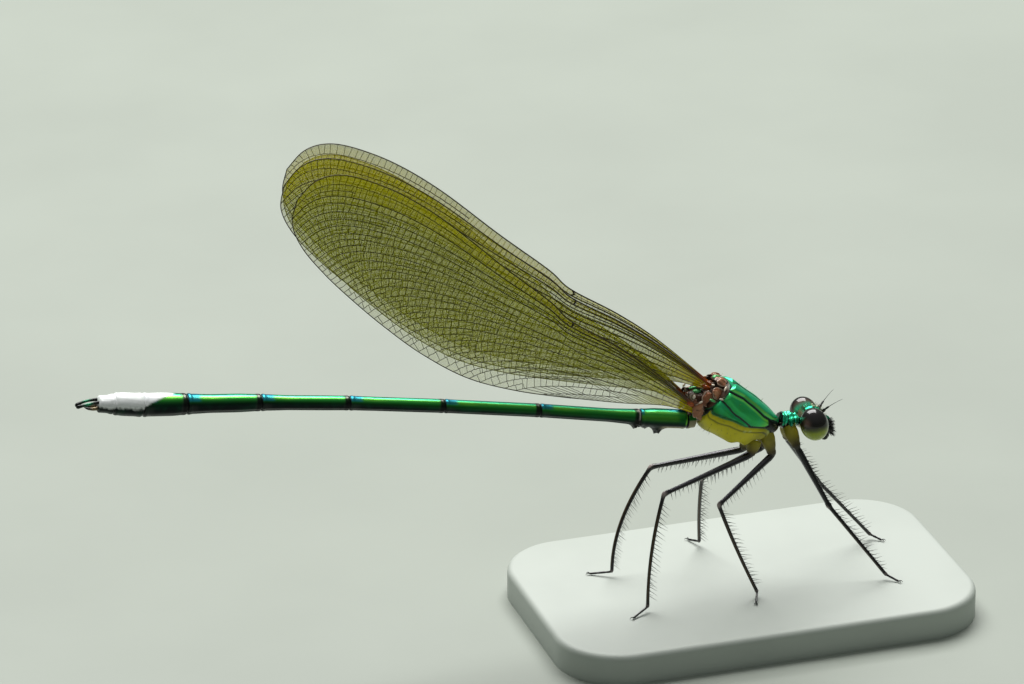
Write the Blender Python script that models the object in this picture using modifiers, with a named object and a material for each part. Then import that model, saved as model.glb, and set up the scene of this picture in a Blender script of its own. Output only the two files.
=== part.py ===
"""Damselfly, a life-size still model on a small base plate.

Metres, +Z up. The head points along +X and the insect's left side along +Y.
The origin is the middle of the base plate's underside.
Places on the insect are given from a datum on the level of the feet, straight
under the joint of thorax and abdomen, and then moved onto the plate.
"""

import bisect
import math
import random

import bmesh
import bpy
from mathutils import Matrix, Vector

MM = 0.001
GAP = 0.3 * MM

# Base plate
BASE_LENGTH = 34.0 * MM
BASE_WIDTH = 21.0 * MM
BASE_THICKNESS = 2.4 * MM
BASE_CORNER = 5.0 * MM
BASE_EDGE = 0.5 * MM
BASE_AHEAD = 4.2 * MM

# The datum of the insect, seen from the plate's origin
DATUM = Vector((-BASE_AHEAD, 0.0, BASE_THICKNESS + GAP))

# Abdomen: joints along the midline, and the radius in the middle of each segment
ABDOMEN_JOINTS = (
    (0.10, 13.62), (-0.57, 13.68), (-4.32, 14.38), (-12.26, 16.06), (-19.82, 17.50), (-27.24, 18.80),
    (-34.07, 19.81), (-39.75, 20.49), (-43.11, 20.88), (-45.30, 21.28), (-46.50, 21.52),
)
ABDOMEN_RADII = (0.70, 0.74, 0.52, 0.52, 0.53, 0.56, 0.70, 0.86, 0.86, 0.70)
ABDOMEN_SIDES = 14
CERCUS_LENGTH = 1.5 * MM
CERCUS_SPREAD = 0.30 * MM
GENITAL_BUMP = 0.55 * MM

# Thorax: each ring's front and rear points on the midline, half its width, and how square it is
THORAX_RINGS = (
    ((1.78, 17.00), (1.45, 16.70), 0.42, 2.0),
    ((2.40, 16.68), (1.85, 16.20), 0.90, 2.2),
    ((2.90, 16.52), (0.25, 14.45), 1.62, 3.0),
    ((3.42, 16.24), (0.45, 13.20), 1.86, 2.6),
    ((4.22, 15.56), (1.05, 12.60), 1.95, 2.2),
    ((5.24, 14.68), (2.45, 12.00), 1.92, 2.2),
    ((6.20, 13.72), (3.50, 11.65), 1.72, 2.2),
    ((6.94, 12.80), (4.05, 11.45), 1.45, 2.2),
    ((7.08, 12.15), (4.40, 11.40), 1.12, 2.4),
)
THORAX_ANGLES = (0, 5, 20, 34, 44, 48, 52, 66, 80, 87, 91, 95, 110, 125, 142, 160, 180)
CARINA_RISE = 0.12 * MM
SUTURE_DEPTH = 0.09 * MM
SUTURE_ANGLES = (48, 91)

# Prothorax and head
NECK_REAR = Vector((7.46, 0.0, 12.50)) * MM
NECK_FRONT = Vector((8.43, 0.0, 12.32)) * MM
PROTHORAX_PROFILE = (
    (0.00, 0.40), (0.08, 0.62), (0.22, 0.50), (0.32, 0.72), (0.55, 0.78), (0.66, 0.54),
    (0.74, 0.58), (0.84, 0.44), (0.88, 0.30), (1.00, 0.28),
)
HEAD_CENTRE = Vector((9.72, 0.0, 12.25)) * MM
HEAD_TURN = math.radians(-5.0)
HEAD_TILT = math.radians(-6.0)
HEAD_HALF = Vector((0.98, 1.98, 1.06)) * MM
EYE_HALF = Vector((1.03, 1.02, 1.24)) * MM
EYE_OFFSET = Vector((-0.10, 1.76, 0.02)) * MM
FACE_HALF = Vector((0.74, 0.76, 0.84)) * MM
FACE_OFFSET = Vector((0.96, 0.0, -0.78)) * MM
ANTENNA_LENGTH = 1.9 * MM
ANTENNA_RADII = (0.25 * MM, 0.17 * MM, 0.06 * MM)

# Wings: outline as fractions of the length, leading edge with the kink at the nodus, then the hind edge
WING_LEADING = (
    (0.0, 0.0), (0.14, 0.032), (0.245, 0.046), (0.358, 0.052), (0.42, 0.069), (0.55, 0.092),
    (0.70, 0.122), (0.81, 0.133), (0.90, 0.128), (0.955, 0.113), (0.988, 0.083), (1.0, 0.038),
)
WING_HIND = (
    (1.0, 0.038), (0.984, -0.006), (0.94, -0.040), (0.87, -0.068), (0.79, -0.091), (0.70, -0.112),
    (0.60, -0.129), (0.49, -0.134), (0.38, -0.118), (0.27, -0.092), (0.17, -0.066), (0.08, -0.042),
    (0.0075, -0.025),
)
WING_ANAL_SHARE = 0.27
WING_MEMBRANE = 0.50 * MM
FOREWING = {"length": 39.4, "root": (1.42, 16.40), "chord": 1.0, "y_root": 0.42, "y_blade": 0.52}
HINDWING = {"length": 38.2, "root": (0.22, 14.87), "chord": 1.03, "y_root": 1.22, "y_blade": 1.54}
WING_ELEVATION = {
    "forewing_left": 31.0, "forewing_right": 29.7, "hindwing_left": 32.6, "hindwing_right": 31.9,
}
WING_SPREAD_OVER = 5.0 * MM
WING_STATIONS = 20
WING_STATION_CROWDING = 1.35
WING_EDGE_HOLD = 2.0

# Veins leave the root in line with the wing's two edges, and meet the margin at these headings
VEIN_ROOT_HEADINGS = ((0.97, 0.24), (0.97, -0.23))
VEIN_MARGIN_HEADINGS = (
    (0.0, (0.10, -1.0)), (0.15, (0.42, -0.90)), (0.45, (0.50, -0.86)), (0.75, (0.55, -0.83)),
    (1.0, (0.97, -0.24)),
)
VEIN_ROOT_PULL = 0.42
VEIN_MARGIN_PULLS = (0.30, 0.25)

# Main veins, as shares of the way from the leading edge to the hind edge, raised on both faces
WING_VEINS = (0.0, 0.09, 0.20, 0.33, 0.47, 0.62, 0.80, 1.0)
VEIN_CREST = 0.70 * MM
VEIN_HALF_WIDTH = 0.16 * MM
VEIN_LARGEST_SHARE = 0.36

# Legs: joints from the datum in millimetres, for the right and the left leg of each pair
LEG_JOINTS = {
    "front_right": ((7.95, -0.50, 11.50), (8.20, -1.15, 10.50), (10.53, -2.20, 5.68), (14.60, -4.20, 0.42),
                    (15.35, -5.05, 0.24)),
    "front_left": ((7.95, 0.50, 11.50), (8.20, 1.05, 10.40), (11.21, 2.20, 5.81), (16.00, 2.85, 0.42),
                   (16.75, 2.15, 0.24)),
    "middle_right": ((5.95, -0.75, 11.42), (6.22, -1.00, 10.10), (1.49, -2.20, 7.10), (4.10, -3.90, 0.42),
                     (3.55, -5.20, 0.24)),
    "middle_left": ((5.95, 0.75, 11.44), (6.22, 0.90, 10.00), (1.91, 2.80, 7.07), (2.85, 5.75, 0.42),
                    (2.35, 6.95, 0.24)),
    "hind_right": ((4.75, -0.75, 11.05), (4.45, -0.95, 10.35), (-3.02, -2.30, 8.74), (-4.75, -3.75, 0.42),
                   (-6.20, -4.65, 0.24)),
    "hind_left": ((4.75, 0.75, 11.05), (4.50, 0.80, 10.05), (-1.79, 4.20, 7.93), (-5.40, 2.80, 0.42),
                  (-6.95, 3.60, 0.24)),
}
# How far the middle of each tibia bows to the rear
TIBIA_BOW = {
    "front_right": 0.0, "front_left": 0.0, "middle_right": 0.12, "middle_left": 0.12,
    "hind_right": 0.32, "hind_left": 0.80,
}
COXA_RADII = (0.45 * MM, 0.42 * MM, 0.32 * MM)
FEMUR_RADII = (0.36 * MM, 0.30 * MM, 0.27 * MM)
TIBIA_RADII = (0.27 * MM, 0.25 * MM, 0.25 * MM)
TARSUS_RADII = (0.25 * MM, 0.25 * MM, 0.14 * MM)

# Bristles: two rows on each femur and tibia, on the inner side of the knee's bend
BRISTLE_LENGTH = 1.15 * MM
BRISTLE_ROOT = 0.20 * MM
BRISTLE_TIP = 0.05 * MM
BRISTLE_SIDES = 4
BRISTLE_PITCH = 1.35 * MM
BRISTLE_ROWS = (-40.0, 40.0)
BRISTLE_LEAN = 0.50
BRISTLE_START = 0.04 * MM
BRISTLE_STRETCH = {"femur": (0.20, 0.88), "tibia": (0.10, 0.76)}
BRISTLE_SEED = 7

COLOURS = {
    "metallic_green": ((0.02, 0.30, 0.14), 0.30, 0.7),
    "pale_bloom": ((0.80, 0.82, 0.80), 0.80, 0.0),
    "black_gloss": ((0.012, 0.012, 0.015), 0.25, 0.0),
    "olive_yellow": ((0.30, 0.28, 0.04), 0.45, 0.0),
    "eye_dark": ((0.02, 0.018, 0.012), 0.10, 0.0),
    "wing_amber": ((0.28, 0.24, 0.06), 0.30, 0.0),
    "base_satin": ((0.62, 0.63, 0.62), 0.45, 0.0),
}


def clear_scene():
    for item in list(bpy.data.objects):
        bpy.data.objects.remove(item, do_unlink=True)


def make_collection(name):
    collection = bpy.data.collections.new(name)
    bpy.context.scene.collection.children.link(collection)
    return collection


def make_material(node_name, finish):
    colour, roughness, metallic = COLOURS[finish]
    material = bpy.data.materials.new(node_name + "_" + finish)
    material.use_nodes = True
    shader = material.node_tree.nodes["Principled BSDF"]
    shader.inputs["Base Color"].default_value = (*colour, 1.0)
    shader.inputs["Roughness"].default_value = roughness
    shader.inputs["Metallic"].default_value = metallic
    return material


def on_insect(x, y, z):
    """A place given in millimetres from the datum, in the part's own frame."""
    return DATUM + Vector((x, y, z)) * MM


def add_object(name, mesh, finish, collection):
    piece = bpy.data.objects.new(name, mesh)
    collection.objects.link(piece)
    if finish:
        mesh.materials.clear()
        mesh.materials.append(make_material(name, finish))
    return piece


def mesh_from_bmesh(name, shape):
    mesh = bpy.data.meshes.new(name)
    shape.to_mesh(mesh)
    shape.free()
    return mesh


def smooth(piece, degrees=40.0):
    piece.data.shade_smooth()
    piece.data.set_sharp_from_angle(angle=math.radians(degrees))


def baked_copy(piece):
    """The evaluated mesh of a piece, welded, with its transform applied."""
    bpy.context.view_layer.update()
    graph = bpy.context.evaluated_depsgraph_get()
    mesh = bpy.data.meshes.new_from_object(piece.evaluated_get(graph))
    shape = bmesh.new()
    shape.from_mesh(mesh)
    bmesh.ops.remove_doubles(shape, verts=shape.verts, dist=0.001 * MM)
    bmesh.ops.transform(shape, matrix=piece.matrix_world, verts=shape.verts)
    bmesh.ops.recalc_face_normals(shape, faces=shape.faces)
    shape.to_mesh(mesh)
    shape.free()
    return mesh


def tapered_tube(name, points, radii, finish, collection, resolution=2):
    """A tube with flat ends, as one closed mesh."""
    curve = bpy.data.curves.new(name, "CURVE")
    curve.dimensions = "3D"
    curve.bevel_depth = 1.0
    curve.bevel_resolution = resolution
    curve.use_fill_caps = True
    spline = curve.splines.new("POLY")
    spline.points.add(len(points) - 1)
    for spot, point, radius in zip(spline.points, points, radii):
        spot.co = (*point, 1.0)
        spot.radius = radius
    guide = bpy.data.objects.new(name + "_path", curve)
    collection.objects.link(guide)
    mesh = baked_copy(guide)
    bpy.data.objects.remove(guide, do_unlink=True)
    piece = add_object(name, mesh, finish, collection)
    smooth(piece)
    return piece


def turned_piece(name, profile, start, end, finish, collection, sides):
    """A profile of (share of the length, radius) turned about the line from start to end."""
    length = (end - start).length
    shape = bmesh.new()
    rows = [(profile[-1][0], 0.0)] + list(reversed(profile)) + [(profile[0][0], 0.0)]
    spots = [shape.verts.new((radius, 0.0, share * length)) for share, radius in rows]
    for upper, lower in zip(spots, spots[1:]):
        shape.edges.new((upper, lower))
    piece = add_object(name, mesh_from_bmesh(name, shape), finish, collection)
    screw = piece.modifiers.new("Turned", "SCREW")
    screw.steps = sides
    screw.render_steps = sides
    screw.use_merge_vertices = True
    screw.merge_threshold = 0.001 * MM
    piece.rotation_mode = "QUATERNION"
    piece.rotation_quaternion = (end - start).to_track_quat("Z", "Y")
    piece.location = start
    return piece


def ellipsoid_mesh(name, half, segments, rings):
    shape = bmesh.new()
    bmesh.ops.create_uvsphere(shape, u_segments=segments, v_segments=rings, radius=1.0)
    bmesh.ops.scale(shape, vec=half, verts=shape.verts)
    return mesh_from_bmesh(name, shape)


def join_by_union(piece, extras):
    """Fuse closed mesh objects into a piece with one Boolean, and remove them."""
    pieces = bpy.data.collections.new(piece.name + "_extras")
    for extra in extras:
        pieces.objects.link(extra)
    union = piece.modifiers.new("Fused", "BOOLEAN")
    union.operation = "UNION"
    union.operand_type = "COLLECTION"
    union.solver = "MANIFOLD"
    union.collection = pieces
    bpy.context.view_layer.update()
    graph = bpy.context.evaluated_depsgraph_get()
    fused = bpy.data.meshes.new_from_object(piece.evaluated_get(graph))
    piece.modifiers.remove(union)
    finish = list(piece.data.materials)
    piece.data = fused
    fused.materials.clear()
    for material in finish:
        fused.materials.append(material)
    for extra in extras:
        bpy.data.objects.remove(extra, do_unlink=True)
    bpy.data.collections.remove(pieces)
    keep_largest_surface(piece)


def keep_largest_surface(piece):
    """Drop everything but the largest connected surface of a piece."""
    shape = bmesh.new()
    shape.from_mesh(piece.data)
    left = set(shape.faces)
    islands = []
    while left:
        front = [left.pop()]
        island = list(front)
        while front:
            face = front.pop()
            for edge in face.edges:
                for other in edge.link_faces:
                    if other in left:
                        left.remove(other)
                        front.append(other)
                        island.append(other)
        islands.append(island)
    islands.sort(key=lambda faces: -sum(face.calc_area() for face in faces))
    scraps = [face for island in islands[1:] for face in island]
    bmesh.ops.delete(shape, geom=scraps, context="FACES")
    shape.to_mesh(piece.data)
    shape.free()


def cut_with(piece, cutter):
    cut = piece.modifiers.new("Cut", "BOOLEAN")
    cut.operation = "DIFFERENCE"
    cut.object = cutter


def make_base(parts):
    """Plate with rounded corners, its top edge eased, its underside flat."""
    shape = bmesh.new()
    bmesh.ops.create_cube(shape, size=1.0)
    bmesh.ops.scale(shape, vec=(BASE_LENGTH, BASE_WIDTH, BASE_THICKNESS), verts=shape.verts)
    bmesh.ops.translate(shape, vec=(0.0, 0.0, BASE_THICKNESS / 2), verts=shape.verts)
    upright = [e for e in shape.edges if abs(e.verts[0].co.z - e.verts[1].co.z) > BASE_THICKNESS / 2]
    bmesh.ops.bevel(shape, geom=upright, offset=BASE_CORNER, segments=6, profile=0.5, affect="EDGES")
    rim = [e for e in shape.edges if all(v.co.z > BASE_THICKNESS * 0.9 for v in e.verts)]
    bmesh.ops.bevel(shape, geom=rim, offset=BASE_EDGE, segments=2, profile=0.5, affect="EDGES")
    plate = add_object("stand_base", mesh_from_bmesh("stand_base", shape), "base_satin", parts)
    smooth(plate)


def make_abdomen(parts):
    """Ten turned segments, each a little wider at its hind ring."""
    joints = [on_insect(x, 0.0, z) for x, z in ABDOMEN_JOINTS]
    last = len(ABDOMEN_RADII) - 1
    for number, radius in enumerate(ABDOMEN_RADII):
        front, rear = joints[number], joints[number + 1]
        along = (rear - front).normalized()
        start = front + along * (GAP / 2)
        end = rear - along * (GAP / 2)
        before = ABDOMEN_RADII[max(number - 1, 0)]
        after = ABDOMEN_RADII[min(number + 1, last)]
        front_radius = (0.62 * radius + 0.38 * before) * MM
        rear_radius = (0.55 * radius + 0.45 * after) * MM
        profile = (
            (0.0, front_radius * 0.88), (0.05, front_radius), (0.30, radius * MM), (0.70, radius * MM),
            (0.93, rear_radius), (0.97, rear_radius * 1.05), (1.0, rear_radius * 0.90),
        )
        name = "segment_%02d" % (number + 1)
        finish = "pale_bloom" if number >= 7 else "metallic_green"
        piece = turned_piece(name, profile, start, end, finish, parts, ABDOMEN_SIDES)
        if number == 1:
            add_genital_bump(piece, front.lerp(rear, 0.55))
        else:
            smooth(piece)


def add_genital_bump(segment, middle):
    """The second segment carries a blunt lobe on its underside."""
    mesh = baked_copy(segment)
    segment.modifiers.clear()
    segment.matrix_world = Matrix.Identity(4)
    finish = list(segment.data.materials)
    segment.data = mesh
    mesh.materials.clear()
    for material in finish:
        mesh.materials.append(material)
    half = Vector((0.72 * MM, 0.38 * MM, GENITAL_BUMP))
    lobe = add_object("lobe", ellipsoid_mesh("lobe", half, 10, 6), None, bpy.context.scene.collection)
    lobe.location = middle - Vector((0.0, 0.0, 0.72 * MM))
    bpy.context.view_layer.update()
    join_by_union(segment, [lobe])
    smooth(segment)


def make_tail_ends(parts):
    """Forceps-like cerci above, and a short paired plate below them."""
    tail = on_insect(ABDOMEN_JOINTS[-1][0], 0.0, ABDOMEN_JOINTS[-1][1])
    root_x = tail.x - GAP / 2
    bend = (0.0, 0.35, 0.75, 1.0)
    spread = (0.0, 0.42, 0.38, 0.02)
    radii = (0.20 * MM, 0.17 * MM, 0.16 * MM, 0.11 * MM)
    for side, sign in (("left", 1), ("right", -1)):
        points = [
            Vector((root_x - CERCUS_LENGTH * share, sign * (CERCUS_SPREAD + out * MM), tail.z + 0.16 * MM))
            for share, out in zip(bend, spread)
        ]
        tapered_tube("cercus_" + side, points, radii, "black_gloss", parts)
    points = [Vector((root_x - reach * MM, 0.0, tail.z - drop * MM)) for reach, drop in ((0, 0.36), (0.9, 0.30))]
    tapered_tube("paraproct", points, (0.22 * MM, 0.10 * MM), "black_gloss", parts)


def thorax_ring(front, rear, half_width, squareness):
    """Points of one ring, from the front midline round the left side and back on the right."""
    middle = (front + rear) / 2
    reach = (front - rear) / 2
    left = []
    for degrees in THORAX_ANGLES:
        angle = math.radians(degrees)
        power = 2.0 / squareness
        forward = math.copysign(abs(math.cos(angle)) ** power, math.cos(angle))
        out = abs(math.sin(angle)) ** power
        spot = middle + reach * forward + Vector((0.0, half_width * out, 0.0))
        outward = (spot - middle).normalized()
        if degrees == 0:
            spot += outward * CARINA_RISE
        if degrees in SUTURE_ANGLES:
            spot -= outward * SUTURE_DEPTH
        left.append(spot)
    right = [Vector((spot.x, -spot.y, spot.z)) for spot in reversed(left[1:-1])]
    return left + right


def loft(name, rings):
    """A closed skin over rings of equal count, its ends filled."""
    shape = bmesh.new()
    rows = [[shape.verts.new(point) for point in ring] for ring in rings]
    count = len(rows[0])
    for upper, lower in zip(rows, rows[1:]):
        for index in range(count):
            following = (index + 1) % count
            shape.faces.new((upper[index], lower[index], lower[following], upper[following]))
    shape.faces.new(rows[0])
    shape.faces.new(reversed(rows[-1]))
    bmesh.ops.recalc_face_normals(shape, faces=shape.faces)
    return mesh_from_bmesh(name, shape)


def make_thorax(parts):
    """Slanting box of plates between the wings' roots and the legs' roots."""
    rings = []
    for (front_x, front_z), (rear_x, rear_z), half_width, squareness in THORAX_RINGS:
        front = on_insect(front_x, 0.0, front_z)
        rear = on_insect(rear_x, 0.0, rear_z)
        rings.append(thorax_ring(front, rear, half_width * MM, squareness))
    thorax = add_object("thorax", loft("thorax", rings), "metallic_green", parts)
    smooth(thorax)
    profile = [(share, radius * MM) for share, radius in PROTHORAX_PROFILE]
    start, end = DATUM + NECK_REAR, DATUM + NECK_FRONT
    prothorax = turned_piece("prothorax", profile, start, end, "metallic_green", parts, 16)
    smooth(prothorax)


def make_head(parts, cutters):
    """Broad capsule with an eye let into each end, a face below and two short feelers."""
    pivot = bpy.data.objects.new("head_pivot", None)
    parts.objects.link(pivot)
    pivot.location = DATUM + HEAD_CENTRE
    pivot.rotation_euler = (HEAD_TILT, 0.0, HEAD_TURN)
    head = add_object("head", ellipsoid_mesh("head", HEAD_HALF, 24, 14), "metallic_green", parts)
    head.parent = pivot
    smooth(head)
    for side, sign in (("left", 1), ("right", -1)):
        place = Vector((EYE_OFFSET.x, sign * EYE_OFFSET.y, EYE_OFFSET.z))
        eye = add_object("eye_" + side, ellipsoid_mesh("eye_" + side, EYE_HALF, 20, 12), "eye_dark", parts)
        socket_half = EYE_HALF + Vector((GAP, GAP, GAP))
        socket_mesh = ellipsoid_mesh("socket_" + side, socket_half, 20, 12)
        socket = add_object("socket_" + side, socket_mesh, None, cutters)
        for piece in (eye, socket):
            piece.parent = pivot
            piece.location = place
        smooth(eye)
        cut_with(head, socket)
        make_antenna(side, sign, pivot, parts)
    face_mesh = ellipsoid_mesh("mouthparts", FACE_HALF, 18, 10)
    face = add_object("mouthparts", face_mesh, "black_gloss", parts)
    recess_half = FACE_HALF + Vector((GAP, GAP, GAP))
    recess = add_object("face_recess", ellipsoid_mesh("face_recess", recess_half, 18, 10), None, cutters)
    for piece in (face, recess):
        piece.parent = pivot
        piece.location = FACE_OFFSET
    smooth(face)
    cut_with(head, recess)


def make_antenna(side, sign, pivot, parts):
    start = Vector((0.98 * MM, sign * 0.62 * MM, 0.78 * MM))
    heading = Vector((0.62, sign * 0.45, 0.64)).normalized()
    points = [start + heading * (ANTENNA_LENGTH * share) for share in (0.0, 0.3, 1.0)]
    antenna = tapered_tube("antenna_" + side, points, ANTENNA_RADII, "black_gloss", parts)
    antenna.parent = pivot


def hide_cutters(cutters):
    for cutter in cutters.objects:
        cutter.hide_render = True
        cutter.display_type = "WIRE"


def spline_through(points, share):
    """Catmull-Rom spline through a list of flat points, at a share of its steps."""
    place = share * (len(points) - 1)
    index = min(int(place), len(points) - 2)
    part = place - index
    spots = [Vector(points[max(0, min(len(points) - 1, index + step))]) for step in (-1, 0, 1, 2)]
    before, start, end, after = spots
    return 0.5 * (
        2 * start + (end - before) * part + (2 * before - 5 * start + 4 * end - after) * part ** 2
        + (3 * start - before - 3 * end + after) * part ** 3
    )


def even_path(points):
    """A function that gives the place at a share of the length of the spline through the points."""
    steps = 400
    fine = [spline_through(points, step / steps) for step in range(steps + 1)]
    reach = [0.0]
    for first, second in zip(fine, fine[1:]):
        reach.append(reach[-1] + (second - first).length)

    def place(share):
        wanted = min(max(share, 0.0), 1.0) * reach[-1]
        index = min(max(bisect.bisect_left(reach, wanted), 1), steps)
        part = (wanted - reach[index - 1]) / (reach[index] - reach[index - 1])
        return fine[index - 1].lerp(fine[index], part)

    return place


def margin_heading(across):
    """The way a vein points where it meets the margin, as a flat unit vector."""
    for (low, before), (high, after) in zip(VEIN_MARGIN_HEADINGS, VEIN_MARGIN_HEADINGS[1:]):
        if across <= high:
            break
    share = (across - low) / (high - low)
    return Vector(before).normalized().lerp(Vector(after).normalized(), share).normalized()


def wing_plan():
    """A function from shares across and along the wing to its flat place, in shares of its length.

    Lines of one share across are arched like the long veins, and the first and last follow the outline.
    """
    split = [index for index, spot in enumerate(WING_HIND) if spot[0] <= WING_ANAL_SHARE][0]
    leading = even_path(WING_LEADING)
    margin = even_path(WING_HIND[:split + 1])
    anal = even_path(tuple(reversed(WING_HIND[split:])))
    headings = [Vector(heading).normalized() for heading in VEIN_ROOT_HEADINGS]

    def arch(across, along):
        start = leading(0.0).lerp(anal(0.0), across)
        end = margin(across)
        reach = (end - start).length
        out = headings[0].lerp(headings[1], across).normalized() * reach * VEIN_ROOT_PULL
        pull = VEIN_MARGIN_PULLS[0] + (VEIN_MARGIN_PULLS[1] - VEIN_MARGIN_PULLS[0]) * across
        back = margin_heading(across) * reach * pull
        rest = 1.0 - along
        return (
            start * rest ** 3 + (start + out) * 3 * rest ** 2 * along
            + (end - back) * 3 * rest * along ** 2 + end * along ** 3
        )

    def place(across, along):
        front = (leading(along) - arch(0.0, along)) * (1.0 - across) ** WING_EDGE_HOLD
        rear = (anal(along) - arch(1.0, along)) * across ** WING_EDGE_HOLD
        return arch(across, along) + front + rear

    return place


def vein_lines(plan, length, along):
    """Shares across the wing at one station, with the vein's crest as 1.

    Each crest has a foot on each side of it, and a line of membrane runs midway between two veins.
    """
    lines = []
    for index, vein in enumerate(WING_VEINS):
        nearest = min(abs(vein - other) for other in WING_VEINS if other != vein)
        step = nearest / 10
        low, high = max(vein - step, 0.0), min(vein + step, 1.0)
        scale = (plan(high, along) - plan(low, along)).length * length / (high - low)
        foot = min(VEIN_HALF_WIDTH / scale, VEIN_LARGEST_SHARE * nearest)
        if index > 0:
            lines.append((vein - foot, 0.0))
        lines.append((vein, 1.0))
        if index < len(WING_VEINS) - 1:
            lines.append((vein + foot, 0.0))
            lines.append(((vein + WING_VEINS[index + 1]) / 2, 0.0))
    return lines


def make_wing(name, parts):
    """A thin blade whose main veins stand as ridges on both faces, with triangles alike on both."""
    design = FOREWING if name.startswith("forewing") else HINDWING
    sign = 1 if name.endswith("left") else -1
    length = design["length"] * MM
    elevation = math.radians(WING_ELEVATION[name])
    outward = Vector((-math.cos(elevation), 0.0, math.sin(elevation)))
    upward = Vector((math.sin(elevation), 0.0, math.cos(elevation)))
    root = on_insect(design["root"][0], 0.0, design["root"][1])
    plan = wing_plan()
    shape = bmesh.new()
    columns = []
    crests = []
    for station in range(WING_STATIONS + 1):
        along = 1.0 - (1.0 - station / WING_STATIONS) ** WING_STATION_CROWDING
        column = []
        for across, crest in vein_lines(plan, length, along):
            spot = plan(across, along)
            reach = min(max(spot.x * length / WING_SPREAD_OVER, 0.0), 1.0)
            ease = reach * reach * (3 - 2 * reach)
            side = design["y_root"] + (design["y_blade"] - design["y_root"]) * ease
            place = root + outward * (spot.x * length) + upward * (spot.y * length * design["chord"])
            column.append(shape.verts.new(place + Vector((0.0, sign * side * MM, 0.0))))
            crests.append(crest)
        columns.append(column)
    for inner, outer in zip(columns, columns[1:]):
        for line in range(len(inner) - 1):
            shape.faces.new((inner[line], outer[line], outer[line + 1], inner[line + 1]))
    bmesh.ops.triangulate(shape, faces=shape.faces)
    bmesh.ops.recalc_face_normals(shape, faces=shape.faces)
    wing = add_object(name, mesh_from_bmesh(name, shape), "wing_amber", parts)
    veins = wing.vertex_groups.new(name="veins")
    for index, crest in enumerate(crests):
        veins.add([index], crest, "REPLACE")
    solid = wing.modifiers.new("Thickness", "SOLIDIFY")
    solid.thickness = VEIN_CREST
    solid.offset = 0.0
    solid.vertex_group = veins.name
    solid.thickness_vertex_group = WING_MEMBRANE / VEIN_CREST
    return wing


def bend_clearance(before, joint, after, radius):
    """How far each limb stops short of a joint, so that its inner corner keeps half the gap."""
    turn = (joint - before).angle(after - joint)
    return GAP / 2 + radius * math.tan(turn / 2)


def bristle(place, heading):
    """A thin four-sided cone from its root to its blunt tip."""
    shape = bmesh.new()
    length = BRISTLE_LENGTH * random.uniform(0.88, 1.10)
    bmesh.ops.create_cone(
        shape, cap_ends=True, cap_tris=False, segments=BRISTLE_SIDES, radius1=BRISTLE_ROOT,
        radius2=BRISTLE_TIP, depth=length,
    )
    bmesh.ops.translate(shape, vec=(0.0, 0.0, length / 2), verts=shape.verts)
    turn = heading.to_track_quat("Z", "Y").to_matrix().to_4x4()
    bmesh.ops.transform(shape, matrix=Matrix.Translation(place) @ turn, verts=shape.verts)
    return add_object("bristle", mesh_from_bmesh("bristle", shape), None, bpy.context.scene.collection)


def add_bristles(limb, spine_points, inner, stretch):
    """Two rows of bristles on the side of a limb that inner points to, leaning towards the foot."""
    start, middle, end = spine_points
    along = (end - start).normalized()
    inner = (inner - along * inner.dot(along)).normalized()
    length = (end - start).length
    count = max(int(length * (stretch[1] - stretch[0]) / BRISTLE_PITCH), 2)
    bristles = []
    for row, degrees in enumerate(BRISTLE_ROWS):
        for number in range(count):
            share = stretch[0] + (stretch[1] - stretch[0]) * (number + 0.25 + 0.5 * row) / count
            centre = start.lerp(middle, share * 2) if share < 0.5 else middle.lerp(end, share * 2 - 1)
            turn = Matrix.Rotation(math.radians(degrees + random.uniform(-7.0, 7.0)), 3, along)
            outward = turn @ inner
            heading = (outward + along * BRISTLE_LEAN * random.uniform(0.8, 1.2)).normalized()
            bristles.append(bristle(centre + outward * BRISTLE_START, heading))
    bpy.context.view_layer.update()
    join_by_union(limb, bristles)
    smooth(limb)


def make_leg(name, parts, below_feet):
    """Coxa, femur, tibia and tarsus of one leg, each clear of the next by the gap."""
    hip, trochanter, knee, ankle, toe = [on_insect(*joint) for joint in LEG_JOINTS[name]]
    at_trochanter = bend_clearance(hip, trochanter, knee, FEMUR_RADII[0])
    at_knee = bend_clearance(trochanter, knee, ankle, FEMUR_RADII[-1])
    at_ankle = bend_clearance(knee, ankle, toe, TARSUS_RADII[0])
    segments = (
        ("coxa", hip, trochanter, 0.0, at_trochanter, COXA_RADII, "olive_yellow"),
        ("femur", trochanter, knee, at_trochanter, at_knee, FEMUR_RADII, "black_gloss"),
        ("tibia", knee, ankle, at_knee, at_ankle, TIBIA_RADII, "black_gloss"),
        ("tarsus", ankle, toe, at_ankle, 0.0, TARSUS_RADII, "black_gloss"),
    )
    inner_side = {"femur": ankle - knee, "tibia": trochanter - knee}
    for part_name, start, end, front_gap, rear_gap, radii, finish in segments:
        along = (end - start).normalized()
        start = start + along * front_gap
        end = end - along * rear_gap
        middle = start.lerp(end, 0.5)
        if part_name == "tibia":
            middle.x -= TIBIA_BOW[name] * MM
        points = (start, middle, end)
        limb = tapered_tube(part_name + "_" + name, points, radii, finish, parts)
        if part_name in inner_side:
            add_bristles(limb, points, inner_side[part_name], BRISTLE_STRETCH[part_name])
        if part_name == "tarsus":
            cut_with(limb, below_feet)


def make_foot_cutter(cutters):
    """Everything under the level of the feet, to give each foot its small flat."""
    shape = bmesh.new()
    bmesh.ops.create_cube(shape, size=1.0)
    depth = 4.0 * MM
    bmesh.ops.scale(shape, vec=(60.0 * MM, 40.0 * MM, depth), verts=shape.verts)
    bmesh.ops.translate(shape, vec=DATUM - Vector((0.0, 0.0, depth / 2)), verts=shape.verts)
    return add_object("below_feet", mesh_from_bmesh("below_feet", shape), None, cutters)


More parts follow.
